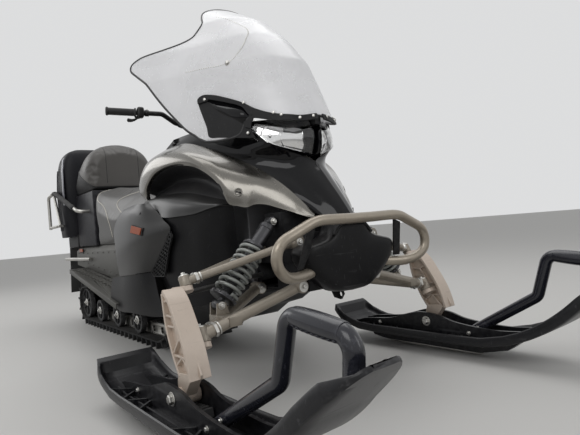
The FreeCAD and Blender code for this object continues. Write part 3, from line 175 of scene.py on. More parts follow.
class Shape:
    """Points and faces gathered for one mesh, in millimetres."""

    BLOB_LEVELS = 16
    BLOB_STEPS = 28

    def __init__(self) -> None:
        """Starts with nothing in it."""
        self.points: list[Vector] = []
        self.faces: list[tuple[int, ...]] = []
        self.marks: list[int] = []

    def add(self, points: Iterable[Point], faces: Iterable[Sequence[int]], mark: int = 0) -> Shape:
        """Adds points and the faces between them.

        Args:
            points: The new points.
            faces: Faces, as indices into the new points.
            mark: The number of the finish they take.

        Returns:
            The shape itself, as every method that adds to it does.
        """
        base = len(self.points)
        self.points += [Vector(point) for point in points]
        for face in faces:
            self.faces.append(tuple(base + index for index in face))
            self.marks.append(mark)
        return self

    def grid(self, rows: Sequence[Sequence[Point]], closed: bool = False, caps: bool = False,
             mark: int = 0) -> Shape:
        """Adds a sheet of four-sided faces.

        Args:
            rows: Rows of points.
            closed: Whether each row joins its own start.
            caps: Whether the first and last rows are filled.
            mark: The number of the finish.

        Returns:
            The shape itself.
        """
        wide = len(rows[0])
        faces: list[Sequence[int]] = []
        for row in range(len(rows) - 1):
            for column in range(wide if closed else wide - 1):
                beside = (column + 1) % wide
                faces.append((row * wide + column, row * wide + beside,
                              (row + 1) * wide + beside, (row + 1) * wide + column))
        if caps:
            faces.append(tuple(reversed(range(wide))))
            faces.append(tuple((len(rows) - 1) * wide + column for column in range(wide)))
        return self.add([point for row in rows for point in row], faces, mark)

    def loft(self, rows: Sequence[Sequence[Point]], mark: int = 0) -> Shape:
        """Adds a closed form through rings of points."""
        return self.grid(rows, closed=True, caps=True, mark=mark)

    def tube(self, path: Sequence[Point], radius: float | Sequence[float], sides: int = 14,
             mark: int = 0) -> Shape:
        """Adds a round bar along a path.

        Args:
            path: The middle line.
            radius: One radius, or one for each point.
            sides: How many sides the ring has.
            mark: The number of the finish.

        Returns:
            The shape itself.
        """
        line = [Vector(point) for point in path]
        radii = [radius] * len(line) if isinstance(radius, (int, float)) else list(radius)
        ways = [(line[min(i + 1, len(line) - 1)] - line[max(i - 1, 0)]).normalized()
                for i in range(len(line))]
        across = ways[0].orthogonal().normalized()
        turns = [math.tau * side / sides for side in range(sides)]
        rows = []
        for index, (point, way) in enumerate(zip(line, ways)):
            if index:
                across = ways[index - 1].rotation_difference(way) @ across
            other = way.cross(across)
            rows.append([point + (across * math.cos(turn) + other * math.sin(turn)) * radii[index]
                         for turn in turns])
        return self.loft(rows, mark)

    def lathe(self, profile: Line, start: Point, way: Point, sides: int = 24, mark: int = 0,
              caps: bool = True) -> Shape:
        """Adds a turned form.

        Args:
            profile: Radius and height pairs, from the foot up.
            start: The foot of its axis.
            way: The direction of its axis.
            sides: How many sides it has, so that six make a hexagon.
            mark: The number of the finish.
            caps: Whether its ends are filled.

        Returns:
            The shape itself.
        """
        axis = Vector(way).normalized()
        around = spokes(way, sides)
        rows = [[Vector(start) + axis * height + spoke * radius for spoke in around]
                for radius, height in profile]
        return self.grid(rows, closed=True, caps=caps, mark=mark)

    def slab(self, outline: Sequence[Point], depth: Point, mark: int = 0) -> Shape:
        """Adds a prism from the points round one face and the step to the other face."""
        first = [Vector(point) for point in outline]
        return self.loft([first, [point + Vector(depth) for point in first]], mark)

    def bar(self, start: Vector, end: Vector, side: Vector, depth: Point, mark: int = 0) -> Shape:
        """Adds a straight bar whose one face lies between two points, side to either hand."""
        return self.slab([start - side, end - side, end + side, start + side], depth, mark)

    def bolt(self, place: Point, way: Point, radius: float = 7.0, tall: float = 5.0,
             mark: int = 0) -> Shape:
        """Adds a hexagon head on its washer.

        Args:
            place: The middle of its foot.
            way: The direction it points.
            radius: The head's radius at its corners.
            tall: The head's height.
            mark: The number of the finish.

        Returns:
            The shape itself.
        """
        washer = tall * 0.3
        self.lathe(((radius * 1.45, 0), (radius * 1.45, washer)), place, way, 20, mark)
        raised = Vector(place) + Vector(way).normalized() * tall * 0.3
        crown = ((radius, 0), (radius, tall * 0.75), (radius * 0.82, tall))
        return self.lathe(crown, raised, way, 6, mark)

    def blob(self, centre: Point, along: Point, up: Point, sizes: Point, power: float = 4.0,
             mark: int = 0) -> Shape:
        """Adds a rounded block.

        Args:
            centre: Its middle.
            along: The direction of its first size.
            up: About the direction of its third size.
            sizes: The half sizes along, across and up.
            power: 2 for an ellipsoid, more for a squarer block.
            mark: The number of the finish.

        Returns:
            The shape itself.
        """
        first = Vector(along).normalized()
        across = Vector(up).cross(first).normalized()
        third = first.cross(across)
        rows = []
        for level in range(1, self.BLOB_LEVELS):
            rise = math.pi * level / self.BLOB_LEVELS
            reach = squared(math.sin(rise), power)
            ring = []
            for step in range(self.BLOB_STEPS):
                turn = math.tau * step / self.BLOB_STEPS
                a = squared(math.cos(turn), power) * reach * sizes[0]
                b = squared(math.sin(turn), power) * reach * sizes[1]
                c = squared(math.cos(rise), power) * sizes[2]
                ring.append(Vector(centre) + first * a + across * b + third * c)
            rows.append(ring)
        return self.loft(rows, mark)

    def mirrored(self) -> Shape:
        """Gives the left-hand twin.

        Returns:
            A new shape.
        """
        twin = Shape()
        twin.points = [Vector((point.x, -point.y, point.z)) for point in self.points]
        twin.faces = [tuple(reversed(face)) for face in self.faces]
        twin.marks = list(self.marks)
        return twin

    def join(self, other: Shape) -> Shape:
        """Adds a whole shape to this one.

        Args:
            other: The shape to add.

        Returns:
            The shape itself.
        """
        base = len(self.points)
        self.points += other.points
        self.faces += [tuple(base + index for index in face) for face in other.faces]
        self.marks += other.marks
        return self

    def both(self) -> Shape:
        """Adds the left-hand twin to the shape."""
        return self.join(self.mirrored())

    def piece(self, name: str, closed: bool = True) -> bpy.types.Object:
        """Makes the object, in metres.

        Args:
            name: The piece's name.
            closed: Whether every part of it is a closed form, whose faces then turn outwards.

        Returns:
            The new object.
        """
        mesh = bpy.data.meshes.new(name)
        mesh.from_pydata([point * MM for point in self.points], [], self.faces)
        mesh.polygons.foreach_set("material_index", self.marks)
        mesh.polygons.foreach_set("use_smooth", [True] * len(self.faces))
        if closed:
            working = bmesh.new()
            working.from_mesh(mesh)
            bmesh.ops.recalc_face_normals(working, faces=working.faces)
            working.to_mesh(mesh)
            working.free()
        mesh.update()
        return linked(name, mesh)

    def make(self, name: str, finishes: Sequence[Finish | HazedGlass], slot: str,
             nodes: Sequence[str] = (), body: str = CHASSIS, *, closed: bool = True,
             wall: float = 0.0, outwards: float = -1.0, edge: float = 0.0, segments: int = 2,
             angle: float = 35.0) -> bpy.types.Object:
        """Makes the finished object on its body.

        Args:
            name: The piece's name.
            finishes: Its finishes, in the order of its marks.
            slot: The record's material slot; not used.
            nodes: The solids that it replaces.
            body: The body that it moves with.
            closed: Whether every part of it is a closed form.
            wall: The thickness given to a sheet.
            outwards: -1 for a wall behind the sheet, 1 for one in front of it.
            edge: The width of its rounded edges.
            segments: How many faces a rounded edge has.
            angle: The least angle, in degrees, that counts as sharp.

        Returns:
            The object.
        """
        made = self.piece(name, closed)
        if wall:
            walled(made, wall, outwards)
        if edge:
            rounded(made, edge, segments, angle)
        dressed(made, finishes, nodes, body)
        return made

    def pair(self, name: str, finishes: Sequence[Finish | HazedGlass], slot: str, node: str = "",
             body: str = CHASSIS, **how: bool | float) -> None:
        """Makes the piece on both sides.

        Args:
            name: The piece's name, with braces in the place of the side.
            finishes: Its finishes, in the order of its marks.
            slot: The record's material slot.
            node: The solid that each of the two replaces, with braces like the name.
            body: The body that each moves with, with braces where it has a side.
            **how: What make takes besides.
        """
        for side in Side:
            shape = self if side is Side.RIGHT else self.mirrored()
            nodes = [side.named(node)] if node else []
            shape.make(side.named(name), finishes, slot, nodes, side.named(body), **how)


def linked(name: str, data: bpy.types.ID) -> bpy.types.Object:
    """Sets data into the scene as an object.

    Args:
        name: The object's name.
        data: Its mesh, lamp or camera.

    Returns:
        The object.
    """
    made = bpy.data.objects.new(name, data)
    bpy.context.scene.collection.objects.link(made)
    return made


def rounded(piece: bpy.types.Object, wide: float, segments: int = 2, angle: float = 35.0) -> None:
    """Rounds the edges of a piece that are sharper than an angle in degrees.

    Args:
        piece: The piece.
        wide: The width of the rounding in millimetres.
        segments: How many faces the rounding has.
        angle: The least angle, in degrees, that counts as sharp.
    """
    edge = piece.modifiers.new("rounded_edges", "BEVEL")
    edge.width = wide * MM
    edge.segments = segments
    edge.limit_method = "ANGLE"
    edge.angle_limit = math.radians(angle)
    edge.use_clamp_overlap = True
    edge.harden_normals = True


def walled(piece: bpy.types.Object, wall: float, outwards: float = -1.0) -> None:
    """Gives a sheet its thickness, behind it at -1 and in front of it at 1.

    Args:
        piece: The sheet.
        wall: Its thickness in millimetres.
        outwards: -1 for a wall behind the sheet, 1 for one in front of it.
    """
    shell = piece.modifiers.new("wall", "SOLIDIFY")
    shell.thickness = wall * MM
    shell.offset = outwards
    shell.use_even_offset = True


def surface_of(rows: Sequence[Sequence[Vector]]) -> BVHTree:
    """Gives a grid as a surface that rays can meet.

    Args:
        rows: The rows of its points, in millimetres.

    Returns:
        The surface, in millimetres.
    """
    wide = len(rows[0])
    return BVHTree.FromPolygons(
        [point for row in rows for point in row],
        [(r * wide + c, r * wide + c + 1, (r + 1) * wide + c + 1, (r + 1) * wide + c)
         for r in range(len(rows) - 1) for c in range(wide - 1)])


def dressed(piece: bpy.types.Object, finishes: Sequence[Finish | HazedGlass],
            nodes: Sequence[str] = (), body: str = CHASSIS) -> None:
    """Finishes a piece and sets it on its body.

    Args:
        piece: The object.
        finishes: Its finishes, in the order of its marks.
        nodes: The solids that it replaces.
        body: The body that it moves with.
    """
    for finish in finishes:
        piece.data.materials.append(finish.build())
    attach(piece, body)
    if nodes:
        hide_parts(*nodes)
    LOG.info("%s rides on %s", piece.name, body)


# Finishes


class Tree:
    """A node tree with a short way to add to it."""

    def __init__(self, tree: bpy.types.NodeTree) -> None:
        """Takes the tree to work on."""
        self.tree = tree

    def feed(self, node: bpy.types.Node, sockets: dict) -> None:
        """Sets inputs, by name or number, to values or links them to sockets.

        Args:
            node: The node.
            sockets: What each input takes.
        """
        for name, value in sockets.items():
            if isinstance(value, bpy.types.NodeSocket):
                self.tree.links.new(value, node.inputs[name])
            else:
                node.inputs[name].default_value = value

    def add(self, kind: str, sockets: dict | None = None, **settings: object) -> bpy.types.Node:
        """Adds a node.

        Args:
            kind: The shader node's type without its prefix.
            sockets: Values or sockets for its inputs, by name or number.
            **settings: Its own properties.

        Returns:
            The node.
        """
        node = self.tree.nodes.new(f"ShaderNode{kind}")
        for name, value in settings.items():
            setattr(node, name, value)
        self.feed(node, sockets or {})
        return node

    def sum(self, kind: str, first: object, second: object = 0.0,
            clamp: bool = False) -> bpy.types.NodeSocket:
        """Adds a Math node and gives its result."""
        return self.add("Math", {0: first, 1: second}, operation=kind, use_clamp=clamp).outputs[0]

    def mix(self, share: object, first: object, second: Colour) -> bpy.types.NodeSocket:
        """Mixes a colour over another and gives the result."""
        node = self.add("Mix", {0: share, 6: first, 7: (*second, 1.0)}, data_type="RGBA")
        return node.outputs[2]

    def noise(self, place: bpy.types.NodeSocket, size: object, detail: float,
              roughness: float = 0.5, **more: float) -> bpy.types.NodeSocket:
        """Adds layered noise and gives its value."""
        return self.add("TexNoise", {"Vector": place, "Scale": size, "Detail": detail,
                                     "Roughness": roughness, **more}).outputs[0]

    def above(self, value: object, low: float, gain: float) -> bpy.types.NodeSocket:
        """Gives how far a value is above a low one, times a gain and no more than 1."""
        return self.sum("MULTIPLY", self.sum("SUBTRACT", value, low), gain, True)

    def effect(self, group: bpy.types.NodeTree, place: bpy.types.NodeSocket,
               **values: object) -> bpy.types.NodeSocket:
        """Places a shared effect and gives its result."""
        return self.add("Group", {"Place": place, **values}, node_tree=group).outputs[0]

    def bump(self, height: bpy.types.NodeSocket, depth: float,
             strength: float) -> bpy.types.NodeSocket:
        """Turns a height, as deep as a depth in millimetres, into a normal."""
        return self.add("Bump", {"Height": height, "Distance": depth * MM,
                                 "Strength": strength}).outputs[0]


Sockets = dict[str, bpy.types.NodeSocket]


class Effects:
    """Shader effects that several finishes share, each a node group built once."""

    _built: dict[str, bpy.types.NodeTree] = {}

    @classmethod
    def group(cls, name: str, output: str, values: dict[str, float | Colour | None],
              fill: Callable[[Tree, Sockets], bpy.types.NodeSocket]) -> bpy.types.NodeTree:
        """Builds a group, or gives the one already built.

        Args:
            name: Its name.
            output: The name of what it puts out: Colour, Mask or Height.
            values: The first values of its inputs, by name, besides Place.
            fill: Adds the nodes and gives the socket that holds the result.

        Returns:
            The group.
        """
        if name in cls._built:
            return cls._built[name]
        kinds = {"Place": "NodeSocketVector", "Colour": "NodeSocketColor"}
        tree = bpy.data.node_groups.new(name, "ShaderNodeTree")
        for label, value in {"Place": None, **values}.items():
            kind = kinds.get(label, "NodeSocketFloat")
            socket = tree.interface.new_socket(label, in_out="INPUT", socket_type=kind)
            if value is not None:
                socket.default_value = value
        kind = kinds.get(output, "NodeSocketFloat")
        tree.interface.new_socket(output, in_out="OUTPUT", socket_type=kind)
        source = tree.nodes.new("NodeGroupInput")
        target = tree.nodes.new("NodeGroupOutput")
        result = fill(Tree(tree), {socket.name: socket for socket in source.outputs if socket.name})
        tree.links.new(result, target.inputs[0])
        cls._built[name] = tree
        return tree

    @classmethod
    def mottle(cls) -> bpy.types.NodeTree:
        """A colour that varies softly over the surface.

        Returns:
            The group.
        """
        def fill(tree: Tree, given: Sockets) -> bpy.types.NodeSocket:
            """Scales the colour by layered noise.

            Args:
                tree: The group's nodes.
                given: The group's inputs, by name.

            Returns:
                The result.
            """
            noise = tree.noise(given["Place"], given["Size"], 6.0, 0.62)
            swing = tree.sum("MULTIPLY", tree.sum("SUBTRACT", noise, 0.5), given["Amount"])
            scale = tree.sum("ADD", tree.sum("MULTIPLY", swing, 2.0), 1.0)
            node = tree.add("VectorMath", {0: given["Colour"], "Scale": scale}, operation="SCALE")
            return node.outputs[0]
        return cls.group("mottled_colour", "Colour", {"Colour": None, "Amount": 0.1, "Size": 8.0},
                         fill)

    @classmethod
    def wear(cls) -> bpy.types.NodeTree:
        """A mask of the convex edges: the rubbed spots, and on the skis a painted highlight along the
        rim.

        Returns:
            The group.
        """
        def fill(tree: Tree, given: Sockets) -> bpy.types.NodeSocket:
            """Breaks up the convex edges with noise.

            Args:
                tree: The group's nodes.
                given: The group's inputs, by name.

            Returns:
                The result.
            """
            convex = tree.add("NewGeometry").outputs["Pointiness"]
            edge = tree.above(convex, low=0.515, gain=14.0)
            noise = tree.noise(given["Place"], given["Size"], 5.0, 0.7)
            broken = tree.sum("MULTIPLY", edge, tree.above(noise, low=0.42, gain=5.0))
            return tree.sum("MULTIPLY", broken, given["Amount"], True)
        return cls.group("edge_wear", "Mask", {"Amount": 1.0, "Size": 60.0}, fill)

    @classmethod
    def dust(cls) -> bpy.types.NodeTree:
        """A mask of the dust that lies on upward faces.

        Returns:
            The group.
        """
        def fill(tree: Tree, given: Sockets) -> bpy.types.NodeSocket:
            """Lays noise on what faces up.

            Args:
                tree: The group's nodes.
                given: The group's inputs, by name.

            Returns:
                The result.
            """
            normal = tree.add("NewGeometry").outputs["Normal"]
            up = tree.add("SeparateXYZ", {0: normal}).outputs["Z"]
            up = tree.sum("POWER", tree.sum("ADD", tree.sum("MULTIPLY", up, 0.5), 0.5, True), 2.5)
            noise = tree.noise(given["Place"], given["Size"], 8.0, 0.72)
            settled_dust = tree.sum("MULTIPLY", up, tree.above(noise, low=0.36, gain=3.0))
            return tree.sum("MULTIPLY", settled_dust, given["Amount"], True)
        return cls.group("settled_dust", "Mask", {"Amount": 0.3, "Size": 14.0}, fill)

    @classmethod
    def scratches(cls) -> bpy.types.NodeTree:
        """A mask of fine scratches in two directions.

        Returns:
            The group.
        """
        def fill(tree: Tree, given: Sockets) -> bpy.types.NodeSocket:
            """Adds two sets of stretched noise lines.

            Args:
                tree: The group's nodes.
                given: The group's inputs, by name.

            Returns:
                The result.
            """
            total: bpy.types.NodeSocket | float = 0.0
            for turn, stretch in (((0.3, 0.5, 0.9), (1.0, 34.0, 8.0)),
                                  ((1.1, -0.6, 2.1), (26.0, 1.0, 9.0))):
                placed = tree.add("Mapping", {"Vector": given["Place"], "Rotation": turn,
                                              "Scale": stretch}).outputs[0]
                noise = tree.noise(placed, given["Size"], 2.0)
                total = tree.sum("MAXIMUM", total, tree.above(noise, low=0.66, gain=16.0))
            return tree.sum("MULTIPLY", total, given["Amount"], True)
        return cls.group("fine_scratches", "Mask", {"Amount": 0.5, "Size": 6.0}, fill)

    @classmethod
    def grain(cls) -> bpy.types.NodeTree:
        """The height of a pebbled grain.

        Returns:
            The group.
        """
        def fill(tree: Tree, given: Sockets) -> bpy.types.NodeSocket:
            """Joins cells with a finer noise.

            Args:
                tree: The group's nodes.
                given: The group's inputs, by name.

            Returns:
                The result.
            """
            cells = tree.add("TexVoronoi", {"Vector": given["Place"], "Scale": given["Size"]})
            fine = tree.noise(given["Place"], tree.sum("MULTIPLY", given["Size"], 2.6), 3.0)
            low = tree.sum("MULTIPLY", cells.outputs["Distance"], 0.7)
            return tree.sum("ADD", low, tree.sum("MULTIPLY", fine, 0.4))
        return cls.group("pebbled_grain", "Height", {"Size": 900.0}, fill)


def new_surface(name: str, colour: Colour, opacity: float
                ) -> tuple[bpy.types.Material, Tree, bpy.types.Node, bpy.types.NodeSocket]:
    """Starts a material.

    Args:
        name: The finish's name.
        colour: Its plain colour.
        opacity: Its opacity where it is drawn plainly.

    Returns:
        The material, its tree, its shader and the object's own places.
    """
    made = bpy.data.materials.new(f"{name}_finish")
    made.use_nodes = True
    made.diffuse_color = (*colour, opacity)
    tree = Tree(made.node_tree)
    return (made, tree, made.node_tree.nodes["Principled BSDF"],
            tree.add("TexCoord").outputs["Object"])


@dataclass(frozen=True)
class Finish:
    """A solid surface with its colour change, grain, rubbed edges (on the skis also a painted highlight
    along the rim), dust and scratches.
    """

    name: str
    colour: Colour
    roughness: float
    metallic: float = 0.0
    coat: float = 0.0
    sheen: float = 0.0
    specular: float = 0.5
    mottle: float = 0.10
    mottle_size: float = 9.0
    grain_size: float = 900.0
    grain_depth: float = 0.0
    worn_colour: Colour = (0.30, 0.30, 0.30)
    wear: float = 0.0
    dust_colour: Colour = (0.30, 0.28, 0.25)
    dust: float = 0.12
    scratches: float = 0.15

    def build(self) -> bpy.types.Material:
        """Makes the material, or gives the one already made.

        Returns:
            The material.
        """
        ready = bpy.data.materials.get(f"{self.name}_finish")
        if ready:
            return ready
        made, tree, shader, place = new_surface(self.name, self.colour, 1.0)
        colour = tree.effect(Effects.mottle(), place, Colour=(*self.colour, 1.0),
                             Amount=self.mottle, Size=self.mottle_size)
        rough: bpy.types.NodeSocket | float = self.roughness
        layers = (
            # effect, amount, colour, the share that the colour takes, and what it adds to the roughness
            (Effects.scratches, self.scratches, self.worn_colour, 0.55, 0.3),
            # the rubbed edges; on the skis this lighter edge colour is a painted highlight along the
            # rim
            (Effects.wear, self.wear, self.worn_colour, 1.0, 0.15),
            (Effects.dust, self.dust, self.dust_colour, 1.0, 0.4),
        )
        for effect, amount, tint, share, rougher in layers:
            if amount:
                mask = tree.effect(effect(), place, Amount=amount)
                colour = tree.mix(tree.sum("MULTIPLY", mask, share), colour, tint)
                rough = tree.sum("ADD", rough, tree.sum("MULTIPLY", mask, rougher), True)
        tree.feed(shader, {"Base Color": colour, "Roughness": rough, "Metallic": self.metallic,
                           "Coat Weight": self.coat, "Coat Roughness": 0.06,
                           "Sheen Weight": self.sheen, "Specular IOR Level": self.specular})
        if self.grain_depth:
            height = tree.effect(Effects.grain(), place, Size=self.grain_size)
            tree.feed(shader, {"Normal": tree.bump(height, self.grain_depth, 0.6)})
        return made


@dataclass(frozen=True)
class HazedGlass:
    """A clear part with haze, scratches and a tint."""

    name: str
    colour: Colour
    clear: float = 1.0
    haze: float = 0.0
    roughness: float = 0.03
    score: float = 0.15

    CLOUD_SIZE = 5.0
    HAZE_SHADE = 0.62

    def build(self) -> bpy.types.Material:
        """Makes the material, or gives the one already made.

        Returns:
            The material.
        """
        ready = bpy.data.materials.get(f"{self.name}_finish")
        if ready:
            return ready
        made, tree, shader, place = new_surface(self.name, self.colour, 0.5)
        clouds = tree.noise(place, self.CLOUD_SIZE, 7.0, 0.6, Distortion=0.7)
        patch = tree.above(clouds, low=0.4, gain=3.4)
        scored = tree.effect(Effects.scratches(), place, Amount=1.0)
        shade = tree.mix(tree.sum("MULTIPLY", patch, self.haze), (*self.colour, 1.0),
                         tuple(value * self.HAZE_SHADE for value in self.colour))
        rough = tree.sum("ADD", tree.sum("MULTIPLY", patch, self.haze * 0.4), self.roughness)
        rough = tree.sum("ADD", rough, tree.sum("MULTIPLY", scored, self.score), True)
        tree.feed(shader, {"Base Color": shade, "Roughness": rough, "IOR": 1.45,
                           "Transmission Weight": self.clear,
                           "Normal": tree.bump(scored, self.score, 0.3)})
        return made


TRACK_RUBBER = Finish("track_rubber", (0.022, 0.022, 0.023), 0.8, specular=0.25, grain_depth=0.25,
                      grain_size=420, wear=0.5, dust=0.3, scratches=0.3,
                      worn_colour=(0.12, 0.12, 0.12), dust_colour=(0.12, 0.11, 0.095))
WHEEL_BLACK = Finish("wheel_black", (0.03, 0.03, 0.032), 0.6, specular=0.3, grain_depth=0.1,
                     wear=0.4, dust=0.3, dust_colour=(0.14, 0.13, 0.11))
BARE_ALLOY = Finish("bare_alloy", (0.50, 0.49, 0.46), 0.36, 1.0, mottle=0.15, mottle_size=16,
                    dust=0.15, scratches=0.5, worn_colour=(0.66, 0.66, 0.64),
                    dust_colour=(0.16, 0.15, 0.13))
# painted shade: the bare aluminium of the tunnel, boards and rivets is darkened to how it looks in
# shade under the machine
SHADE_DARKENED_ALLOY = Finish("sheet_alloy", (0.100, 0.098, 0.090), 0.50, 0.7, mottle=0.22, mottle_size=7,
                     dust=0.15, scratches=0.4, worn_colour=(0.26, 0.26, 0.25),
                     dust_colour=(0.10, 0.095, 0.08))
FRAME_BLACK = Finish("frame_black", (0.007, 0.007, 0.008), 0.5, specular=0.15, wear=0.12, dust=0.02,
                     worn_colour=(0.10, 0.10, 0.10))
CAST_GREY = Finish("cast_grey", (0.20, 0.20, 0.21), 0.62, 0.8, grain_depth=0.3, grain_size=500)
ARM_CHAMPAGNE = Finish("arm_champagne", (0.30, 0.265, 0.218), 0.42, 0.5, coat=0.1, mottle=0.16,
                       mottle_size=22, wear=0.7, worn_colour=(0.20, 0.17, 0.14), dust=0.25,
                       scratches=0.55)
SPINDLE_CAST = Finish("spindle_cast", (0.60, 0.505, 0.425), 0.46, 0.15, coat=0.1, mottle=0.07,
                      mottle_size=12, grain_depth=0.10, grain_size=700, wear=0.3,
                      worn_colour=(0.26, 0.22, 0.18), dust=0.06, scratches=0.25)
SHOCK_DARK = Finish("shock_dark", (0.07, 0.07, 0.075), 0.35, 0.8, scratches=0.4)
SPRING_GREY = Finish("spring_grey", (0.27, 0.285, 0.27), 0.36, 0.3, coat=0.3, mottle=0.15,
                     mottle_size=40, dust=0.35)
ROD_BLACK = Finish("rod_black", (0.035, 0.035, 0.035), 0.4, wear=0.5)
# the lighter edge colour along the rim is partly rubbed plastic and partly a painted highlight along
# the rim
SKI_PLASTIC = Finish("ski_plastic", (0.009, 0.009, 0.011), 0.32, specular=0.35, grain_depth=0.04,
                     grain_size=1400, wear=0.35, worn_colour=(0.13, 0.13, 0.135), dust=0.06,
                     scratches=0.4, dust_colour=(0.10, 0.095, 0.085))
LOOP_PLASTIC = Finish("loop_plastic", (0.010, 0.011, 0.018), 0.24, specular=0.5, coat=0.2,
                      grain_depth=0.03, wear=0.4, worn_colour=(0.16, 0.16, 0.19), dust=0.04,
                      scratches=0.25)
RUNNER_STEEL = Finish("runner_steel", (0.42, 0.40, 0.38), 0.4, 1.0, scratches=0.8, mottle=0.25)
BUMPER_CHAMPAGNE = Finish("bumper_champagne", (0.35, 0.305, 0.245), 0.34, 0.55, coat=0.2, mottle=0.12,
                          mottle_size=18, wear=0.6, worn_colour=(0.16, 0.13, 0.10), scratches=0.4)
PAN_BLACK = Finish("pan_black", (0.006, 0.006, 0.007), 0.3, specular=0.18, grain_depth=0.03,
                   wear=0.35, dust=0.06, scratches=0.4, worn_colour=(0.12, 0.12, 0.12))
PANEL_CHAMPAGNE = Finish("panel_champagne", (0.180, 0.170, 0.152), 0.25, 0.95, coat=0.5,
                         mottle=0.05, mottle_size=60, dust=0.06, scratches=0.10)
HOOD_BLACK = Finish("hood_black", (0.003, 0.003, 0.004), 0.08, specular=0.18, coat=0.2,
                    mottle=0.05, dust=0.015, scratches=0.06, worn_colour=(0.10, 0.10, 0.10))
COVER_BLACK = Finish("cover_black", (0.010, 0.010, 0.011), 0.5, specular=0.22, grain_depth=0.06,
                     wear=0.25, dust=0.06, worn_colour=(0.12, 0.12, 0.12))
SKIRT_BLACK = Finish("skirt_black", (0.007, 0.007, 0.008), 0.42, specular=0.16, mottle=0.08,
                     grain_depth=0.03, dust=0.03, scratches=0.15, worn_colour=(0.10, 0.10, 0.10))
# partly the panel's own dark grey and partly painted shade: darkened further to stand in for the shade
# over the panel's middle
SHADE_DARKENED_KNEE_GREY = Finish("knee_grey", (0.015, 0.0147, 0.0147), 0.34, specular=0.40, coat=0.05,
                   mottle=0.06, dust=0.03, scratches=0.12, worn_colour=(0.12, 0.12, 0.12))
BAR_BLACK = Finish("bar_black", (0.010, 0.010, 0.010), 0.38, specular=0.35, wear=0.3,
                   worn_colour=(0.15, 0.15, 0.15))
GRIP_RUBBER = Finish("grip_rubber", (0.025, 0.025, 0.026), 0.72, grain_depth=0.15, grain_size=700)
SEAT_VINYL = Finish("seat_vinyl", (0.088, 0.086, 0.083), 0.40, sheen=0.08, specular=0.45,
                    grain_depth=0.22, grain_size=620, mottle=0.08, dust=0.04, scratches=0.04)
PASSENGER_VINYL = Finish("passenger_vinyl", (0.074, 0.069, 0.064), 0.42, sheen=0.08, specular=0.45,
                         grain_depth=0.24, grain_size=560, mottle=0.08, dust=0.04, scratches=0.04)
DARK_VINYL = Finish("dark_vinyl", (0.022, 0.022, 0.023), 0.5, specular=0.3, grain_depth=0.22,
                    grain_size=620)
BAND_GREY = Finish("band_grey", (0.24, 0.24, 0.27), 0.35, coat=0.2, grain_depth=0.05)
PIPING = Finish("piping", (0.60, 0.57, 0.50), 0.45, grain_depth=0.05)
TRUNK_BLACK = Finish("trunk_black", (0.008, 0.008, 0.011), 0.46, specular=0.22, grain_depth=0.12,
                     wear=0.3, dust=0.05, worn_colour=(0.12, 0.12, 0.13))
FLAP_RUBBER = Finish("flap_rubber", (0.03, 0.03, 0.03), 0.7, grain_depth=0.15, dust=0.3)
CHROME = Finish("lamp_chrome", (0.86, 0.86, 0.87), 0.08, 1.0, mottle=0.03, dust=0.0, scratches=0.0)
ZINC = Finish("zinc_bolts", (0.62, 0.61, 0.58), 0.34, 1.0, mottle=0.15, mottle_size=80,
              scratches=0.3)
ORANGE_LENS = Finish("reflector_orange", (0.30, 0.050, 0.004), 0.3, specular=0.3, coat=0.1, mottle=0.25,
                     mottle_size=160, grain_depth=0.5, grain_size=260, dust=0.05)
RED_LENS = Finish("lens_red", (0.42, 0.02, 0.02), 0.2, coat=0.8, mottle=0.12, mottle_size=60,
                  grain_depth=0.4, grain_size=240, dust=0.05)
DIAL_WHITE = Finish("dial_face", (0.80, 0.80, 0.78), 0.5, mottle=0.02, dust=0.02)
EDGE_TRIM = Finish("edge_trim", (0.015, 0.015, 0.016), 0.5, dust=0.02)
SCREEN_CLEAR = HazedGlass("screen_clear", (0.985, 0.985, 1.0), clear=0.2, haze=0.3, roughness=0.22,
                          score=0.04)
LAMP_CLEAR = HazedGlass("lamp_clear", (0.97, 0.97, 0.96), clear=1.0, haze=0.04, roughness=0.015,
                        score=0.03)


# Body panels


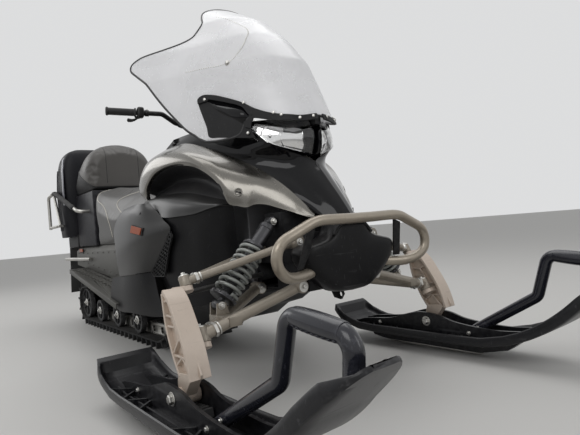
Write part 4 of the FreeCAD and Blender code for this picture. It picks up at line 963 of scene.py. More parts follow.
@dataclass(frozen=True)
class Bodywork:
    """The painted and moulded panels from the nose to the rider's knees."""

    wall: float = 4.0
    arch_front: int = 8
    vent_y: float = 350.0
    tuck: float = 14.0
    outside: float = 600.0

    SWEEP = (
        # (x, y, z) of the top edge, crest, valley and low edge, from the nose over the arch to its rear
        ((989, 79, 568), (996, 85, 562), (998, 89, 557), (997, 90, 551)),
        ((965, 95, 600), (971, 104, 587), (972, 110, 574), (973, 114, 563)),
        ((942, 109, 629), (946, 122, 611), (946, 132, 594), (944, 138, 579)),
        ((914, 123, 659), (916, 140, 636), (914, 154, 614), (908, 162, 595)),
        ((886, 133, 683), (890, 157, 656), (886, 173, 631), (876, 184, 609)),
        ((833, 147, 721), (851, 183, 682), (848, 203, 648), (845, 206, 613)),
        ((797, 159, 744), (831, 200, 690), (834, 220, 644), (828, 228, 606)),
        ((751, 173, 769), (800, 220, 708), (811, 241, 656), (804, 246, 613)),
        ((714, 185, 788), (773, 237, 722), (785, 258, 667), (776, 262, 623)),
        ((656, 201, 816), (726, 252, 756), (758, 270, 706), (761, 272, 660)),
        ((601, 213, 839), (684, 266, 785), (724, 282, 738), (742, 282, 699)),
        ((546, 223, 860), (628, 280, 812), (672, 298, 772), (690, 296, 741)),
        ((467, 237, 884), (545, 294, 838), (592, 312, 798), (618, 306, 772)),
        ((385, 244, 891), (430, 308, 852), (468, 325, 804), (500, 310, 790)),
        ((300, 251, 889), (325, 317, 848), (345, 329, 792), (372, 311, 786)),
        ((230, 258, 878), (245, 320, 832), (272, 328, 762), (288, 310, 763)),
        ((168, 268, 856), (188, 321, 798), (238, 326, 736), (248, 308, 738)),
        ((122, 279, 820), (150, 318, 758), (225, 322, 715), (234, 306, 716)),
        ((106, 288, 783), (142, 314, 734), (218, 316, 700), (226, 302, 700)),
        ((130, 298, 740), (162, 308, 712), (212, 309, 690), (216, 298, 692)),
    )
    HOOD = (
        # middle or lamp side, half way, ridge and slope; the sweep's top edge is added
        ((1072, 0, 554), (1060, 28, 554), (1030, 57, 557), (1008, 72, 560)),
        ((1048, 0, 588), (1036, 32, 587), (1006, 62, 589), (986, 80, 594)),
        ((1020, 0, 626), (1008, 35, 624), (978, 69, 620), (960, 90, 625)),
        ((990, 0, 664), (978, 39, 660), (949, 77, 652), (932, 100, 656)),
        ((960, 0, 703), (947, 42, 698), (916, 86, 688), (902, 110, 685)),
        ((928, 0, 744), (914, 46, 740), (880, 100, 722), (862, 122, 718)),
        ((904, 66, 774), (884, 92, 770), (844, 118, 759), (820, 138, 750)),
        ((886, 110, 794), (864, 124, 788), (816, 140, 780), (790, 156, 774)),
        ((866, 146, 814), (842, 152, 806), (796, 162, 797), (766, 174, 791)),
        ((800, 158, 846), (780, 164, 838), (744, 178, 826), (708, 190, 820)),
        ((720, 170, 868), (704, 178, 862), (680, 190, 852), (650, 204, 844)),
        ((640, 182, 890), (624, 188, 884), (604, 200, 874), (580, 212, 866)),
        ((550, 196, 912), (536, 202, 906), (516, 214, 898), (494, 226, 890)),
        ((450, 208, 928), (442, 214, 922), (428, 226, 910), (410, 236, 900)),
        ((320, 222, 928), (318, 228, 920), (314, 238, 908), (308, 246, 898)),
    )
    COVER = (
        # recess, shoulder's inner line, crest and low edge, step, waist, hip and sill, from the front
        # back; the first point of a row is the sweep's low edge, from its row arch_front on
        ((768, 252, 634), (762, 250, 630), (768, 262, 624), (774, 262, 619), (772, 256, 610),
         (760, 244, 545), (744, 232, 466), (735, 210, 352)),
        ((728, 244, 660), (722, 254, 644), (735, 276, 630), (748, 280, 622), (748, 270, 612),
         (732, 262, 540), (718, 244, 460), (712, 218, 340)),
        ((700, 238, 682), (680, 262, 654), (690, 300, 632), (705, 304, 614), (706, 294, 604),
         (690, 284, 538), (680, 264, 452), (680, 229, 324)),
        ((650, 236, 706), (625, 271, 668), (628, 318, 638), (640, 320, 604), (642, 310, 595),
         (630, 305, 535), (620, 290, 446), (615, 253, 290)),
        ((580, 236, 730), (550, 279, 684), (552, 327, 648), (560, 334, 602), (562, 326, 594),
         (560, 318, 535), (550, 308, 440), (545, 273, 272)),
        ((480, 238, 748), (460, 284, 694), (462, 331, 665), (470, 351, 604), (474, 342, 596),
         (470, 338, 540), (460, 332, 440), (460, 292, 264)),
        ((375, 244, 750), (360, 287, 699), (358, 330, 680), (360, 351, 622), (366, 343, 612),
         (380, 344, 548), (380, 340, 440), (400, 301, 264)),
        ((300, 256, 732), (290, 288, 700), (290, 328, 684), (296, 351, 646), (304, 343, 636),
         (330, 344, 556), (330, 338, 440), (350, 298, 292)),
        ((258, 268, 722), (248, 290, 699), (246, 324, 686), (250, 351, 656), (256, 338, 646),
         (310, 345, 556), (310, 338, 440), (328, 298, 304)),
        ((236, 284, 706), (230, 292, 698), (222, 316, 690), (226, 351, 664), (232, 334, 656),
         (300, 345, 556), (300, 340, 440), (320, 298, 312)),
    )
    KNEE = (
        # crown, shoulder, widest, calf, shin and foot, from the front edge to the rear one
        ((312, 348, 678), (386, 352, 640), (450, 352, 598), (498, 350, 556), (402, 350, 476),
         (306, 348, 402)),
        ((318, 364, 672), (330, 382, 640), (344, 388, 594), (370, 388, 538), (308, 384, 466),
         (254, 378, 398)),
        ((292, 374, 672), (248, 390, 644), (232, 398, 592), (246, 402, 526), (206, 396, 454),
         (176, 388, 392)),
        ((248, 374, 674), (154, 384, 648), (104, 392, 592), (110, 396, 518), (96, 392, 448),
         (90, 386, 385)),
        ((200, 366, 674), (66, 372, 656), (-28, 376, 592), (-30, 376, 512), (-26, 376, 438),
         (-10, 374, 378)),
        ((165, 344, 672), (12, 350, 652), (-100, 352, 592), (-106, 352, 509), (-96, 352, 435),
         (-74, 352, 376)),
    )
    GUARD = (
        # top, middle and low edge of the foot guard below the knee panel, from the front back
        ((306, 345, 401), (350, 352, 310), (400, 352, 232)),
        ((254, 374, 397), (266, 374, 306), (290, 366, 226)),
        ((176, 384, 391), (182, 386, 300), (190, 378, 228)),
        ((90, 382, 384), (92, 388, 300), (94, 382, 228)),
        ((-20, 370, 377), (-20, 380, 300), (-20, 376, 222)),
        ((-150, 364, 366), (-172, 368, 300), (-180, 368, 234)),
    )
    # x and z along the floor and up the toe board, and y across them
    BOARD = ((-40, 256), (30, 253), (118, 250), (160, 330), (205, 420), (205, 500), (205, 600))
    BOARD_Y = (378, 330, 270, 206.6)
    # x and z round the vent
    VENT = ((306, 408), (402, 482), (496, 552), (508, 532), (478, 492), (420, 386), (320, 384),
            (295, 402))
    # x and z on the knee panel: the reflector's corners and middle, and the blind hole above it
    REFLECTOR = ((256, 594), (352, 575), (340, 545), (244, 561))
    REFLECTOR_MIDDLE = (298, 569)
    HOLE = (316, 634)
    FASTENER = (808, 658)

    def fine(self, rows: Sequence[Sequence[Point]], along: int, across: int) -> list[list[Vector]]:
        """Fills a panel's table on the right-hand side, with its faces turned outwards."""
        turned = [[(x, -y, z) for x, y, z in row] for row in reversed(rows)]
        return smooth_grid(turned, along, across)

    def met(self, surface: BVHTree, x: float, z: float) -> tuple[Vector, Vector]:
        """Gives the point and normal where a ray from the right meets a panel."""
        return surface.ray_cast(Vector((x, -self.outside, z)), LEFT)[:2]

    def shell(self, name: str, sheets: Sequence[list[list[Vector]]], finishes: Sequence[Finish],
              slot: str) -> None:
        """Makes a pair of panels from sheets that meet.

        Args:
            name: The node that each panel stands for, with braces in the place of its side.
            sheets: The grids, each with the finish of the same place in finishes.
            finishes: The finishes.
            slot: The record's material slot.
        """
        shape = Shape()
        for mark, rows in enumerate(sheets):
            shape.grid(rows, mark=mark)
        shape.pair(f"{name}_skin", finishes, slot, name, closed=False, wall=self.wall, edge=1.4)

    def hood(self) -> None:
        """The gloss centre panel with a ridge down each side."""
        rows = [row + (sweep[0],) for row, sweep in zip(self.HOOD, self.SWEEP)]
        hood = Shape().grid(self.fine(rows, 8, 10)).both().piece("hood_skin", closed=False)
        weld = hood.modifiers.new("joined_halves", "WELD")
        weld.merge_threshold = 0.4 * MM
        walled(hood, self.wall)
        rounded(hood, 1.2)
        dressed(hood, [HOOD_BLACK], ["hood"])

    def cover(self) -> None:
        """The recess under the arch, the grey shoulder and the dark skirt below it."""
        edges = [row[-1] for row in self.SWEEP[self.arch_front:]]
        rows = [(edge,) + row for edge, row in zip(edges, self.COVER)]
        rows[0] = [(x - 4, y - self.tuck, z) for x, y, z in rows[0]]
        sheets = [self.fine([row[first:last] for row in rows], 8, 6)
                  for first, last in ((0, 3), (2, 5), (4, 9))]
        self.shell("side_cover_{}", sheets, [COVER_BLACK, SHADE_DARKENED_KNEE_GREY, SKIRT_BLACK], "cover_black")

    def bars(self, way: tuple[float, float], pitch: float, wide: float) -> Shape:
        """Draws the thin parallel bars of the vent's mesh.

        Args:
            way: Their direction in the side view.
            pitch: The distance from one to the next.
            wide: How wide each is.

        Returns:
            The bars, clipped to the vent's outline.
        """
        shape = Shape()
        along = Vector((way[0], 0, way[1])).normalized()
        across = Vector((-along.z, 0, along.x))
        rim = at_y(self.VENT)
        offsets = [point.dot(across) for point in rim]
        offset = min(offsets) + pitch / 2
        while offset < max(offsets):
            crossings = []
            for start, end in zip(rim, rim[1:] + rim[:1]):
                first, second = start.dot(across) - offset, end.dot(across) - offset
                if first * second < 0:
                    crossings.append(start.lerp(end, first / (first - second)).dot(along))
            crossings.sort()
            base = across * offset + RIGHT * (self.vent_y + 1)
            for near, far in zip(crossings[::2], crossings[1::2]):
                shape.bar(base + along * near, base + along * far, across * wide / 2, (0, 3, 0))
            offset += pitch
        return shape

    def vent(self) -> None:
        """The slanted mesh along the knee panel's front edge."""
        mesh = self.bars((0.52, 0.85), 15, 4.5).join(self.bars((0.93, 0.36), 10, 3.6))
        mesh.slab(at_y(self.VENT, 4 - self.vent_y), (0, 1.5, 0), 1)
        rim = at_y(self.VENT, -self.vent_y - 1)
        mesh.tube([*rim, rim[0]], 2.4, 8)
        mesh.pair("knee_vent_{}", [COVER_BLACK, EDGE_TRIM], "cover_black")

    def knees(self) -> None:
        """The broad grey panels with the side reflector and its black frame."""
        rows = self.fine(self.KNEE, 8, 6)
        self.shell("knee_panel_{}", [rows], [SHADE_DARKENED_KNEE_GREY], "knee_grey")
        surface = surface_of(rows)
        corners = [self.met(surface, x, z)[0] for x, z in self.REFLECTOR]
        middle_x, middle_z = self.REFLECTOR_MIDDLE
        lens = [hit.lerp(Vector((middle_x, hit.y, middle_z)), 0.17) + RIGHT * 4 for hit in corners]
        shape = Shape().slab([hit + LEFT * 4 for hit in corners], RIGHT * 9).slab(lens, RIGHT * 5, 1)
        shape.lathe(((5.5, -2), (5.5, 0.8), (3, 1.2)), self.met(surface, *self.HOLE)[0],
                    (0, -1, 0.4), 16)
        shape.pair("side_reflector_{}", [COVER_BLACK, ORANGE_LENS], "knee_grey", edge=1.2)

    def fasteners(self) -> None:
        """The slotted quarter-turn fastener of each silver panel."""
        hit, normal = self.met(surface_of(self.fine(self.SWEEP, 4, 4)), *self.FASTENER)
        out = normal if normal.y < 0 else -normal
        head = ((15, -2), (15, 1.2), (12.5, 1.6), (12, 0.7), (1, 0.9))
        shape = Shape().lathe(head, hit, out, 28, 1)
        across = out.cross(Vector((0.3, 0, 1))).normalized()
        base = hit + out * 0.6
        shape.bar(base - across * 8, base + across * 8, across.cross(out) * 2, out * 1.8)
        shape.pair("panel_fasteners_{}", [COVER_BLACK, PANEL_CHAMPAGNE], "panel_champagne")

    def footwells(self) -> None:
        """The foot guard with the floor and the toe board behind it."""
        board = [[(x, -y, z) for y in self.BOARD_Y] for x, z in self.BOARD]
        shape = Shape().grid(self.fine(self.GUARD, 8, 8)).grid(smooth_grid(board, 4, 2))
        shape.pair("footwell_{}", [SKIRT_BLACK], "cover_black", "footwells", closed=False,
                   wall=self.wall, edge=1.2)

    def build(self) -> None:
        """Builds every panel."""
        self.shell("side_panel_{}", [self.fine(self.SWEEP, 8, 7)], [PANEL_CHAMPAGNE],
                   "panel_champagne")
        self.hood()
        self.cover()
        self.knees()
        self.vent()
        self.fasteners()
        self.footwells()


@dataclass(frozen=True)
class NoseGuard:
    """The black nose moulding and the bent bumper tube round it."""

    tube: float = 16.0
    middle_z: float = 440.0
    brow_x: float = 1074.0

    # y and z down half the face, from its top
    RING = ((0, 547), (40, 546), (62, 538), (84, 506), (112, 486), (150, 476), (190, 466), (204, 452),
            (203, 436), (188, 405), (150, 368), (110, 340), (66, 318), (0, 313))
    # x, and the share of the face's size there
    STATIONS = ((1010, 1.0), (1030, 1.0), (1050, 0.99), (1064, 0.95), (1072, 0.89), (1076, 0.8),
                (1077.5, 0.6), (1078, 0.3), (1078, 0.02))
    # y and z of the raised band
    BROW = ((-84, 494), (-52, 524), (0, 530), (52, 524), (84, 494))
    # x, y and z from the tube's low end to its middle
    TUBE = ((1046, -160, 390), (1058, -200, 385), (1072, -246, 384), (1087, -286, 392),
            (1097, -315, 414), (1100, -325, 441), (1102, -319, 470), (1104, -298, 492),
            (1106, -262, 508), (1108, -226, 523), (1110, -192, 536), (1111, -158, 541),
            (1111, -110, 541), (1111, -50, 540))
    # x, y and z round the right-hand gusset
    GUSSET = ((1098, -172, 528), (1098, -205, 516), (1084, -214, 470), (1066, -226, 404),
              (1060, -202, 404), (1078, -186, 450))

    def nose(self) -> None:
        """The moulding, with a raised band along its top and a shallow panel in its face."""
        half = smooth_line([(0, y, z) for y, z in self.RING], 4)
        ring = half + flipped(half[1:-1])
        rows = []
        for x, share in smooth_line(self.STATIONS, 3):
            rows.append([(x, point.y * share, self.middle_z + (point.z - self.middle_z) * share)
                         for point in ring])
        shape = Shape().loft(rows)
        shape.tube(smooth_line([(self.brow_x, y, z) for y, z in self.BROW], 6), 5, 10)
        shape.make("nose_moulding", [PAN_BLACK], "pan_black", ["nose_cover"])

    def bumper(self) -> None:
        """The tube with the black gussets inside its loops."""
        half = smooth_line(self.TUBE, 5)
        Shape().tube(half + flipped(half), self.tube, 24).make(
            "bumper_tube", [BUMPER_CHAMPAGNE], "bumper_champagne", ["front_bumper"])
        Shape().slab(self.GUSSET, (-6, 0, 0)).both().make(
            "bumper_gussets", [COVER_BLACK], "bumper_champagne", edge=1.5)

    def build(self) -> None:
        """Builds the nose and the tube."""
        self.nose()
        self.bumper()


# Windscreen and lamps


@dataclass(frozen=True)
class Windscreen:
    """The tall wrap-round screen with its edge trim, screws and repaired crack."""

    thick: float = 4.0
    nose: float = 150.0
    slope: float = 60.0
    bracket_out: float = 10.5
    foot: float = 850.0
    top: float = 1440.0
    blend: float = 140.0
    shoulder: float = 1250.0
    low_rows: int = 41
    high_rows: int = 39
    columns: int = 56

    # z and x up the middle of the sheet
    LINES = ((825, 985), (900, 958), (1000, 916), (1120, 858), (1240, 758), (1340, 648), (1445, 470))
    # z and half the width there
    WIDTHS = ((850, 262), (880, 286), (906, 300), (960, 317), (1006, 330), (1060, 342), (1120, 354),
              (1165, 366), (1195, 372), (1222, 363), (1240, 344), (1250, 322), (1257, 280), (1266, 236),
              (1280, 206), (1300, 188), (1344, 158), (1380, 141), (1412, 120), (1430, 86), (1438, 46),
              (1440, 8))
    # y and z of the low edge
    LOW_EDGE = ((0, 893), (70, 882), (128, 888), (168, 910), (184, 892), (200, 856), (228, 846),
                (268, 850))
    BRACKET = (
        # the two edges of each strip, y and z, for the top run, the plate and the short tie
        (((262, 992), (259, 1010), (246, 1021), (228, 1015), (208, 998), (179, 967), (158, 934),
          (129, 906), (96, 895), (64, 890), (12, 897)),
         ((241, 996), (240, 1000), (236, 1000), (228, 994), (205, 975), (182, 951), (170, 910),
          (134, 884), (98, 874), (64, 870), (12, 878))),
        (((262, 994), (262, 970), (261, 940), (260, 900), (260, 864), (240, 856), (215, 848),
          (194, 840), (176, 836)),
         ((241, 998), (234, 980), (224, 951), (212, 934), (204, 921), (194, 905), (187, 893),
          (182, 880), (176, 838))),
        (((166, 916), (168, 903), (174, 886), (178, 868)),
         ((174, 914), (178, 903), (188, 892), (188, 876))),
    )
    # y and z round the gloss inset
    SLOT = ((243, 1001), (225, 996), (196, 968), (178, 946), (166, 910), (184, 885), (204, 916),
            (226, 948))
    # y and z of the screws, and of the crack from the top edge down and across
    SCREWS = ((30, 888), (76, 882), (120, 898), (134, 909), (180, 964), (250, 1004), (190, 854))
    CRACK = ((-118, 1360), (-96, 1310), (-84, 1262), (-112, 1212), (-140, 1168), (-176, 1128),
             (-220, 1128), (-262, 1130))

    def surface(self, y: float, z: float, out: float = 0.0) -> Vector:
        """A point of the folded sheet.

        Args:
            y: The distance from the middle, with its sign.
            z: The height.
            out: The distance in front of the sheet's inner face.

        Returns:
            The point in millimetres.
        """
        angle = math.radians(self.slope)
        radius = self.nose + out
        centre = float(np.interp(z, *zip(*self.LINES))) - self.nose
        turn = radius * math.sin(angle)
        if abs(y) <= turn:
            return Vector((centre + math.sqrt(radius ** 2 - y ** 2), y, z))
        x = centre + radius * math.cos(angle) - (abs(y) - turn) * math.tan(angle)
        return Vector((x, y, z))

    def screen(self) -> None:
        """The clear sheet."""
        heights = [*np.linspace(self.foot, self.shoulder, self.low_rows),
                   *np.linspace(self.shoulder, self.top, self.high_rows)[1:]]
        rows = []
        for height in heights:
            width = float(np.interp(height, *zip(*self.WIDTHS)))
            drop = 1 - min((height - self.foot) / self.blend, 1.0)
            row = []
            for column in range(self.columns + 1):
                y = width * math.sin(math.pi / 2 * (2 * column / self.columns - 1))
                edge = float(np.interp(abs(y), *zip(*self.LOW_EDGE)))
                row.append(self.surface(y, min(height + (edge - self.foot) * drop, self.top), 0.5))
            rows.append(row)
        sheet = Shape().grid(rows).make("screen_sheet", [SCREEN_CLEAR], "screen_clear",
                                        ["windscreen"], closed=False, wall=self.thick - 1,
                                        outwards=1.0)
        smoother = sheet.modifiers.new("smoother", "SMOOTH")
        smoother.iterations = 2

    def trim(self) -> None:
        """The dark edge strip, the screws of the low edge and the stitched crack."""
        outline = [*self.LOW_EDGE, *[(width, height) for height, width in self.WIDTHS[1:]],
                   (0.0, self.top)]
        half = smooth_line(outline, 4)
        path = [self.surface(-y, z, 2) for y, z in half]
        path += [self.surface(y, z, 2) for y, z in reversed(half[:-1])]
        Shape().tube(path, 4.2, 10).make("screen_edge_strip", [EDGE_TRIM], "screen_clear")
        screws = Shape()
        lean = math.radians(self.slope)
        for y, z in self.SCREWS:
            for side in Side:
                screws.lathe(((5.6, -1), (5.6, 1.6), (4.6, 3.2), (2.4, 3.8)),
                             self.surface(side.way * y, z, self.bracket_out),
                             (math.cos(lean), side.way * math.sin(lean), 0.25), 18)
        screws.bolt(self.surface(-176, 1128, self.thick), (0.5, -0.85, 0.2), 7, 6)
        screws.make("screen_screws", [ZINC], "screen_clear")
        stitches = Shape()
        for y, z in smooth_line(self.CRACK, 9):
            stitches.lathe(((2.6, -0.4), (2.2, 0.9), (0.8, 1.4)), self.surface(y, z, self.thick),
                           (0.6, -0.75, 0.3), 8)
        stitches.make("crack_stitches", [ZINC], "screen_clear")

    def bracket(self) -> None:
        """The black arms outside the screen's low corners, each round a gloss black inset."""
        inner = self.thick + 1.2
        arms = Shape()
        for edges in self.BRACKET:
            lines = [smooth_line(edge, 6) for edge in edges]
            arms.grid([[self.surface(-y, z, inner) for y, z in
                        (a, a.lerp(b, 0.34), a.lerp(b, 0.67), b)] for a, b in zip(*lines)])
        slot = smooth_line((*self.SLOT, self.SLOT[0]), 4)[:-1]
        inset = Shape().slab([self.surface(-y, z, self.thick + 0.6) for y, z in slot], (1.2, -1, 0))
        inset.pair("screen_inset_{}", [HOOD_BLACK], "hood_black")
        for side, shape, nodes in ((Side.RIGHT, arms, ["screen_brackets"]),
                                   (Side.LEFT, arms.mirrored(), [])):
            shape.make(side.named("screen_bracket_{}_skin"), [COVER_BLACK], "cover_black", nodes,
                       closed=False, wall=self.bracket_out - inner, outwards=1.0, edge=1.5)

    def build(self) -> None:
        """Builds the screen and what is on it."""
        self.screen()
        self.trim()
        self.bracket()


@dataclass(frozen=True)
class Headlamps:
    """The paired lamps: a clear lens over bright stepped reflectors."""

    CORNERS = (
        # rows from the low edge to the top edge, each from the middle outwards
        ((930, 16, 768), (914, 60, 780), (892, 110, 796), (862, 150, 814)),
        ((944, 16, 806), (930, 62, 814), (892, 118, 828), (834, 165, 846)),
        ((946, 16, 846), (930, 62, 850), (884, 120, 862), (804, 182, 880)),
        ((930, 16, 884), (912, 60, 885), (860, 124, 892), (806, 168, 895)),
    )
    BOWLS = (
        # x, y and z of the bulb, the bowl's radius and how far it looks to the side
        (884, 62, 826, 42, -0.12), (846, 122, 840, 34, -0.33),
    )

    def bowls(self) -> Shape:
        """The bowls and bulbs before a faceted back.

        Returns:
            The right-hand half.
        """
        shape = Shape()
        for x, y, z, radius, aside in self.BOWLS:
            turns = [math.radians(degrees) for degrees in range(8, 91, 10)]
            profile = [(radius * math.sin(turn), radius * 0.75 * (1 - math.cos(turn)) - 26)
                       for turn in turns]
            shape.lathe(profile, (x, -y, z), (0.93, aside, 0.05), 40, caps=False)
            shape.lathe(((7, -20), (7, 6), (4, 10), (1, 11)), (x, -y, z), (0.93, aside, 0.05), 16)
        back = smooth_grid([[(x - 34, -y, z) for x, y, z in row] for row in self.CORNERS], 2, 2)
        return shape.grid([[point + Vector((6 * ((r + c) % 2), 0, 0)) for c, point in enumerate(row)]
                           for r, row in enumerate(back)])

    def build(self) -> None:
        """Builds lens, reflectors, bulbs and housing."""
        rows = smooth_grid([[(x, -y, z) for x, y, z in row] for row in self.CORNERS], 7, 8)
        Shape().grid(rows).both().make("lamp_lenses", [LAMP_CLEAR], "lamp_clear", ["headlamps"],
                                       closed=False, wall=3.0)
        rim = [*rows[0], *[row[-1] for row in rows[1:]], *reversed(rows[-1][:-1]),
               *[row[0] for row in reversed(rows[1:-1])]]
        back = [point + Vector((-60, 0, 0)) for point in rim]
        Shape().grid([rim, back], closed=True).both().make(
            "lamp_casings", [HOOD_BLACK], "hood_black", closed=False, wall=2.0)
        self.bowls().both().make("lamp_reflectors", [CHROME], "lamp_clear", closed=False, wall=0.8)


# Seats and the tail


def settled(piece: bpy.types.Object) -> None:
    """Applies a piece's modifiers to its own mesh.

    Args:
        piece: The piece.
    """
    graph = bpy.context.evaluated_depsgraph_get()
    old = piece.data
    piece.data = bpy.data.meshes.new_from_object(piece.evaluated_get(graph))
    piece.modifiers.clear()
    bpy.data.meshes.remove(old)


@dataclass(frozen=True)
class Stuffing:
    """How a cushion is filled, by a short cloth simulation.

    The voxel, the farthest reach of a point and the height of the foot that is held are in
    millimetres.
    """

    voxel: float
    reach: float
    pressure: float = 4.0
    frames: int = 20
    foot: float = 14.0

    def fill(self, piece: bpy.types.Object, low: float, limits: tuple[Point, Point]) -> None:
        """Remeshes a pad, swells it and caps how far each point moves.

        Args:
            piece: The pad in its slack form.
            low: The height that the pad rests on, in millimetres.
            limits: The lowest and highest corners it may reach, in millimetres.
        """
        even = piece.modifiers.new("even_mesh", "REMESH")
        even.mode = "VOXEL"
        even.voxel_size = self.voxel * MM
        settled(piece)
        count = len(piece.data.vertices)
        start = np.empty(count * 3)
        piece.data.vertices.foreach_get("co", start)
        start = start.reshape(-1, 3)
        held = piece.vertex_groups.new(name="held")
        low_points = np.flatnonzero(start[:, 2] < (low + self.foot) * MM)
        held.add([int(index) for index in low_points], 1.0, "REPLACE")
        cloth = piece.modifiers.new("stuffing", "CLOTH")
        cloth.settings.use_pressure = True
        cloth.settings.uniform_pressure_force = self.pressure
        cloth.settings.effector_weights.gravity = 0.0
        cloth.settings.vertex_group_mass = "held"
        cloth.settings.quality = 4
        cloth.collision_settings.use_collision = False
        cloth.point_cache.frame_start = 1
        cloth.point_cache.frame_end = self.frames
        scene = bpy.context.scene
        for frame in range(1, self.frames + 1):
            scene.frame_set(frame)
        graph = bpy.context.evaluated_depsgraph_get()
        end = np.empty(count * 3)
        piece.evaluated_get(graph).data.vertices.foreach_get("co", end)
        step = end.reshape(-1, 3) - start
        far = np.maximum(np.linalg.norm(step, axis=1, keepdims=True), 1e-9)
        step *= np.minimum(1.0, self.reach * MM / far)
        final = np.clip(start + step, np.array(limits[0]) * MM, np.array(limits[1]) * MM)
        piece.modifiers.remove(cloth)
        piece.vertex_groups.clear()
        scene.frame_set(1)
        piece.data.vertices.foreach_set("co", final.ravel())
        piece.data.update()


@dataclass(frozen=True)
class Seats:
    """The driver's long seat and the passenger's raised one, with seams and piping."""

    rest: float = 520.3
    passenger_rest: float = 862.0
    outside: float = 700.0
    above: float = 1500.0

    DRIVER = (
        # x, then half outlines from the foot to the middle of the top
        (-62, (138, 522), (142, 640), (140, 716), (104, 770), (60, 790), (0, 792)),
        (-150, (146, 522), (152, 640), (152, 704), (116, 768), (76, 795), (0, 798)),
        (-260, (156, 522), (166, 620), (170, 690), (134, 774), (92, 800), (0, 802)),
        (-420, (170, 522), (180, 620), (184, 696), (150, 778), (104, 806), (0, 806)),
        (-600, (180, 522), (186, 630), (192, 714), (166, 782), (116, 812), (0, 812)),
        (-760, (184, 522), (190, 650), (198, 752), (176, 812), (124, 838), (0, 836)),
        (-860, (184, 522), (192, 660), (200, 776), (180, 842), (128, 858), (0, 854)),
        (-905, (182, 522), (190, 660), (196, 776), (172, 838), (120, 852), (0, 848)),
    )
    PASSENGER = (
        (-918, (176, 872), (186, 920), (178, 990), (148, 1050), (88, 1090), (0, 1104)),
        (-945, (188, 868), (200, 925), (196, 1010), (166, 1084), (100, 1132), (0, 1148)),
        (-1010, (194, 864), (209, 925), (208, 1010), (180, 1092), (110, 1146), (0, 1165)),
        (-1090, (196, 864), (212, 925), (208, 1002), (178, 1084), (108, 1142), (0, 1165)),
        (-1180, (196, 864), (210, 920), (202, 988), (166, 1060), (102, 1112), (0, 1136)),
        (-1250, (192, 866), (202, 920), (186, 966), (150, 1024), (92, 1066), (0, 1086)),
        (-1292, (186, 868), (190, 915), (174, 952), (138, 998), (86, 1030), (0, 1042)),
    )
    DRIVER_PIPING = (
        # x and z of each line on the seat's side, drawn from outside
        ((-848, 850), (-870, 836), (-852, 795), (-762, 752), (-690, 706), (-640, 654), (-606, 560)),
        ((-180, 786), (-380, 792), (-500, 784), (-566, 770), (-584, 748), (-560, 724), (-505, 700),
         (-430, 678), (-300, 664), (-120, 660)),
    )
    # x and z of the piped edge on the side, below which the cover is dark
    PASSENGER_EDGE = ((-922, 884), (-1000, 926), (-1090, 972), (-1176, 1014), (-1250, 1040))
    # the lowest and highest corners of the space that each cushion fills
    DRIVER_BOX = ((-911, -212, 520.4), (-60.4, 212, 884))
    PASSENGER_BOX = ((-1295.6, -228, 862.2), (-915.4, 228, 1176))

    def loft(self, name: str, outlines: Sequence) -> bpy.types.Object:
        """Makes a closed cushion from its half outlines.

        Args:
            name: The cushion's name.
            outlines: The place of each ring with its half outline.

        Returns:
            The cushion in its slack form.
        """
        rings = []
        for x, *half in outlines:
            right = [(x, -y, z) for y, z in half]
            left = [(x, y, z) for y, z in reversed(half[:-1])]
            width, foot = half[0]
            under = [(x, width * share, foot - 0.6) for share in (0.6, 0.2, -0.2, -0.6)]
            rings.append([*smooth_line(right + left, 4)[:-1], *map(Vector, [left[-1], *under])])
        columns = [smooth_line(column, 6) for column in zip(*rings)]
        return Shape().loft(list(zip(*columns))).piece(name)

    def smooth(self, pad: bpy.types.Object) -> None:
        """Softens a cushion's mesh and divides it once.

        Args:
            pad: The cushion.
        """
        softer = pad.modifiers.new("softened", "SMOOTH")
        softer.iterations = 4
        settled(pad)
        finer = pad.modifiers.new("finer", "SUBSURF")
        finer.levels = 1
        finer.render_levels = 1
        for polygon in pad.data.polygons:
            polygon.use_smooth = True

    def surface(self, piece: bpy.types.Object) -> BVHTree:
        """Gives a finished cushion as a surface for rays."""
        return BVHTree.FromObject(piece, bpy.context.evaluated_depsgraph_get())

    def laid(self, surface: BVHTree, rays: Iterable[tuple[Vector, Vector]],
             lift: float) -> list[Vector]:
        """Lays a line on a cushion.

        Args:
            surface: The cushion, in metres.
            rays: The starts, in millimetres, and the directions of the rays that find its points.
            lift: How far the line stands off, in millimetres.

        Returns:
            The points of the line in millimetres.
        """
        path = []
        for start, way in rays:
            hit, normal = surface.ray_cast(start * MM, way)[:2]
            if hit:
                path.append((hit + normal * lift * MM) / MM)
        return path

    def seam(self, surface: BVHTree, line: Line, side: Side, lift: float) -> list[Vector]:
        """Lays a line of the side view on a cushion.

        Args:
            surface: The cushion, in metres.
            line: The x and z values it passes.
            side: The side it is on.
            lift: How far it stands off, in millimetres.

        Returns:
            The points of the line in millimetres.
        """
        rays = [(Vector((point.x, side.way * self.outside, point.z)), Vector((0, -side.way, 0)))
                for point in smooth_line(at_y(line), 8)]
        return self.laid(surface, rays, lift)

    def over(self, surface: BVHTree, x: float, reach: float, lift: float) -> list[Vector]:
        """Lays a cross seam over a cushion at one place along it.

        Args:
            surface: The cushion, in metres.
            x: The place along the seat.
            reach: How far from the middle it ends.
            lift: How far it stands off, in millimetres.

        Returns:
            The points of the line in millimetres.
        """
        rays = [(Vector((x, reach * math.cos(math.pi * step / 36), self.above)), DOWN)
                for step in range(37)]
        return self.laid(surface, rays, lift)

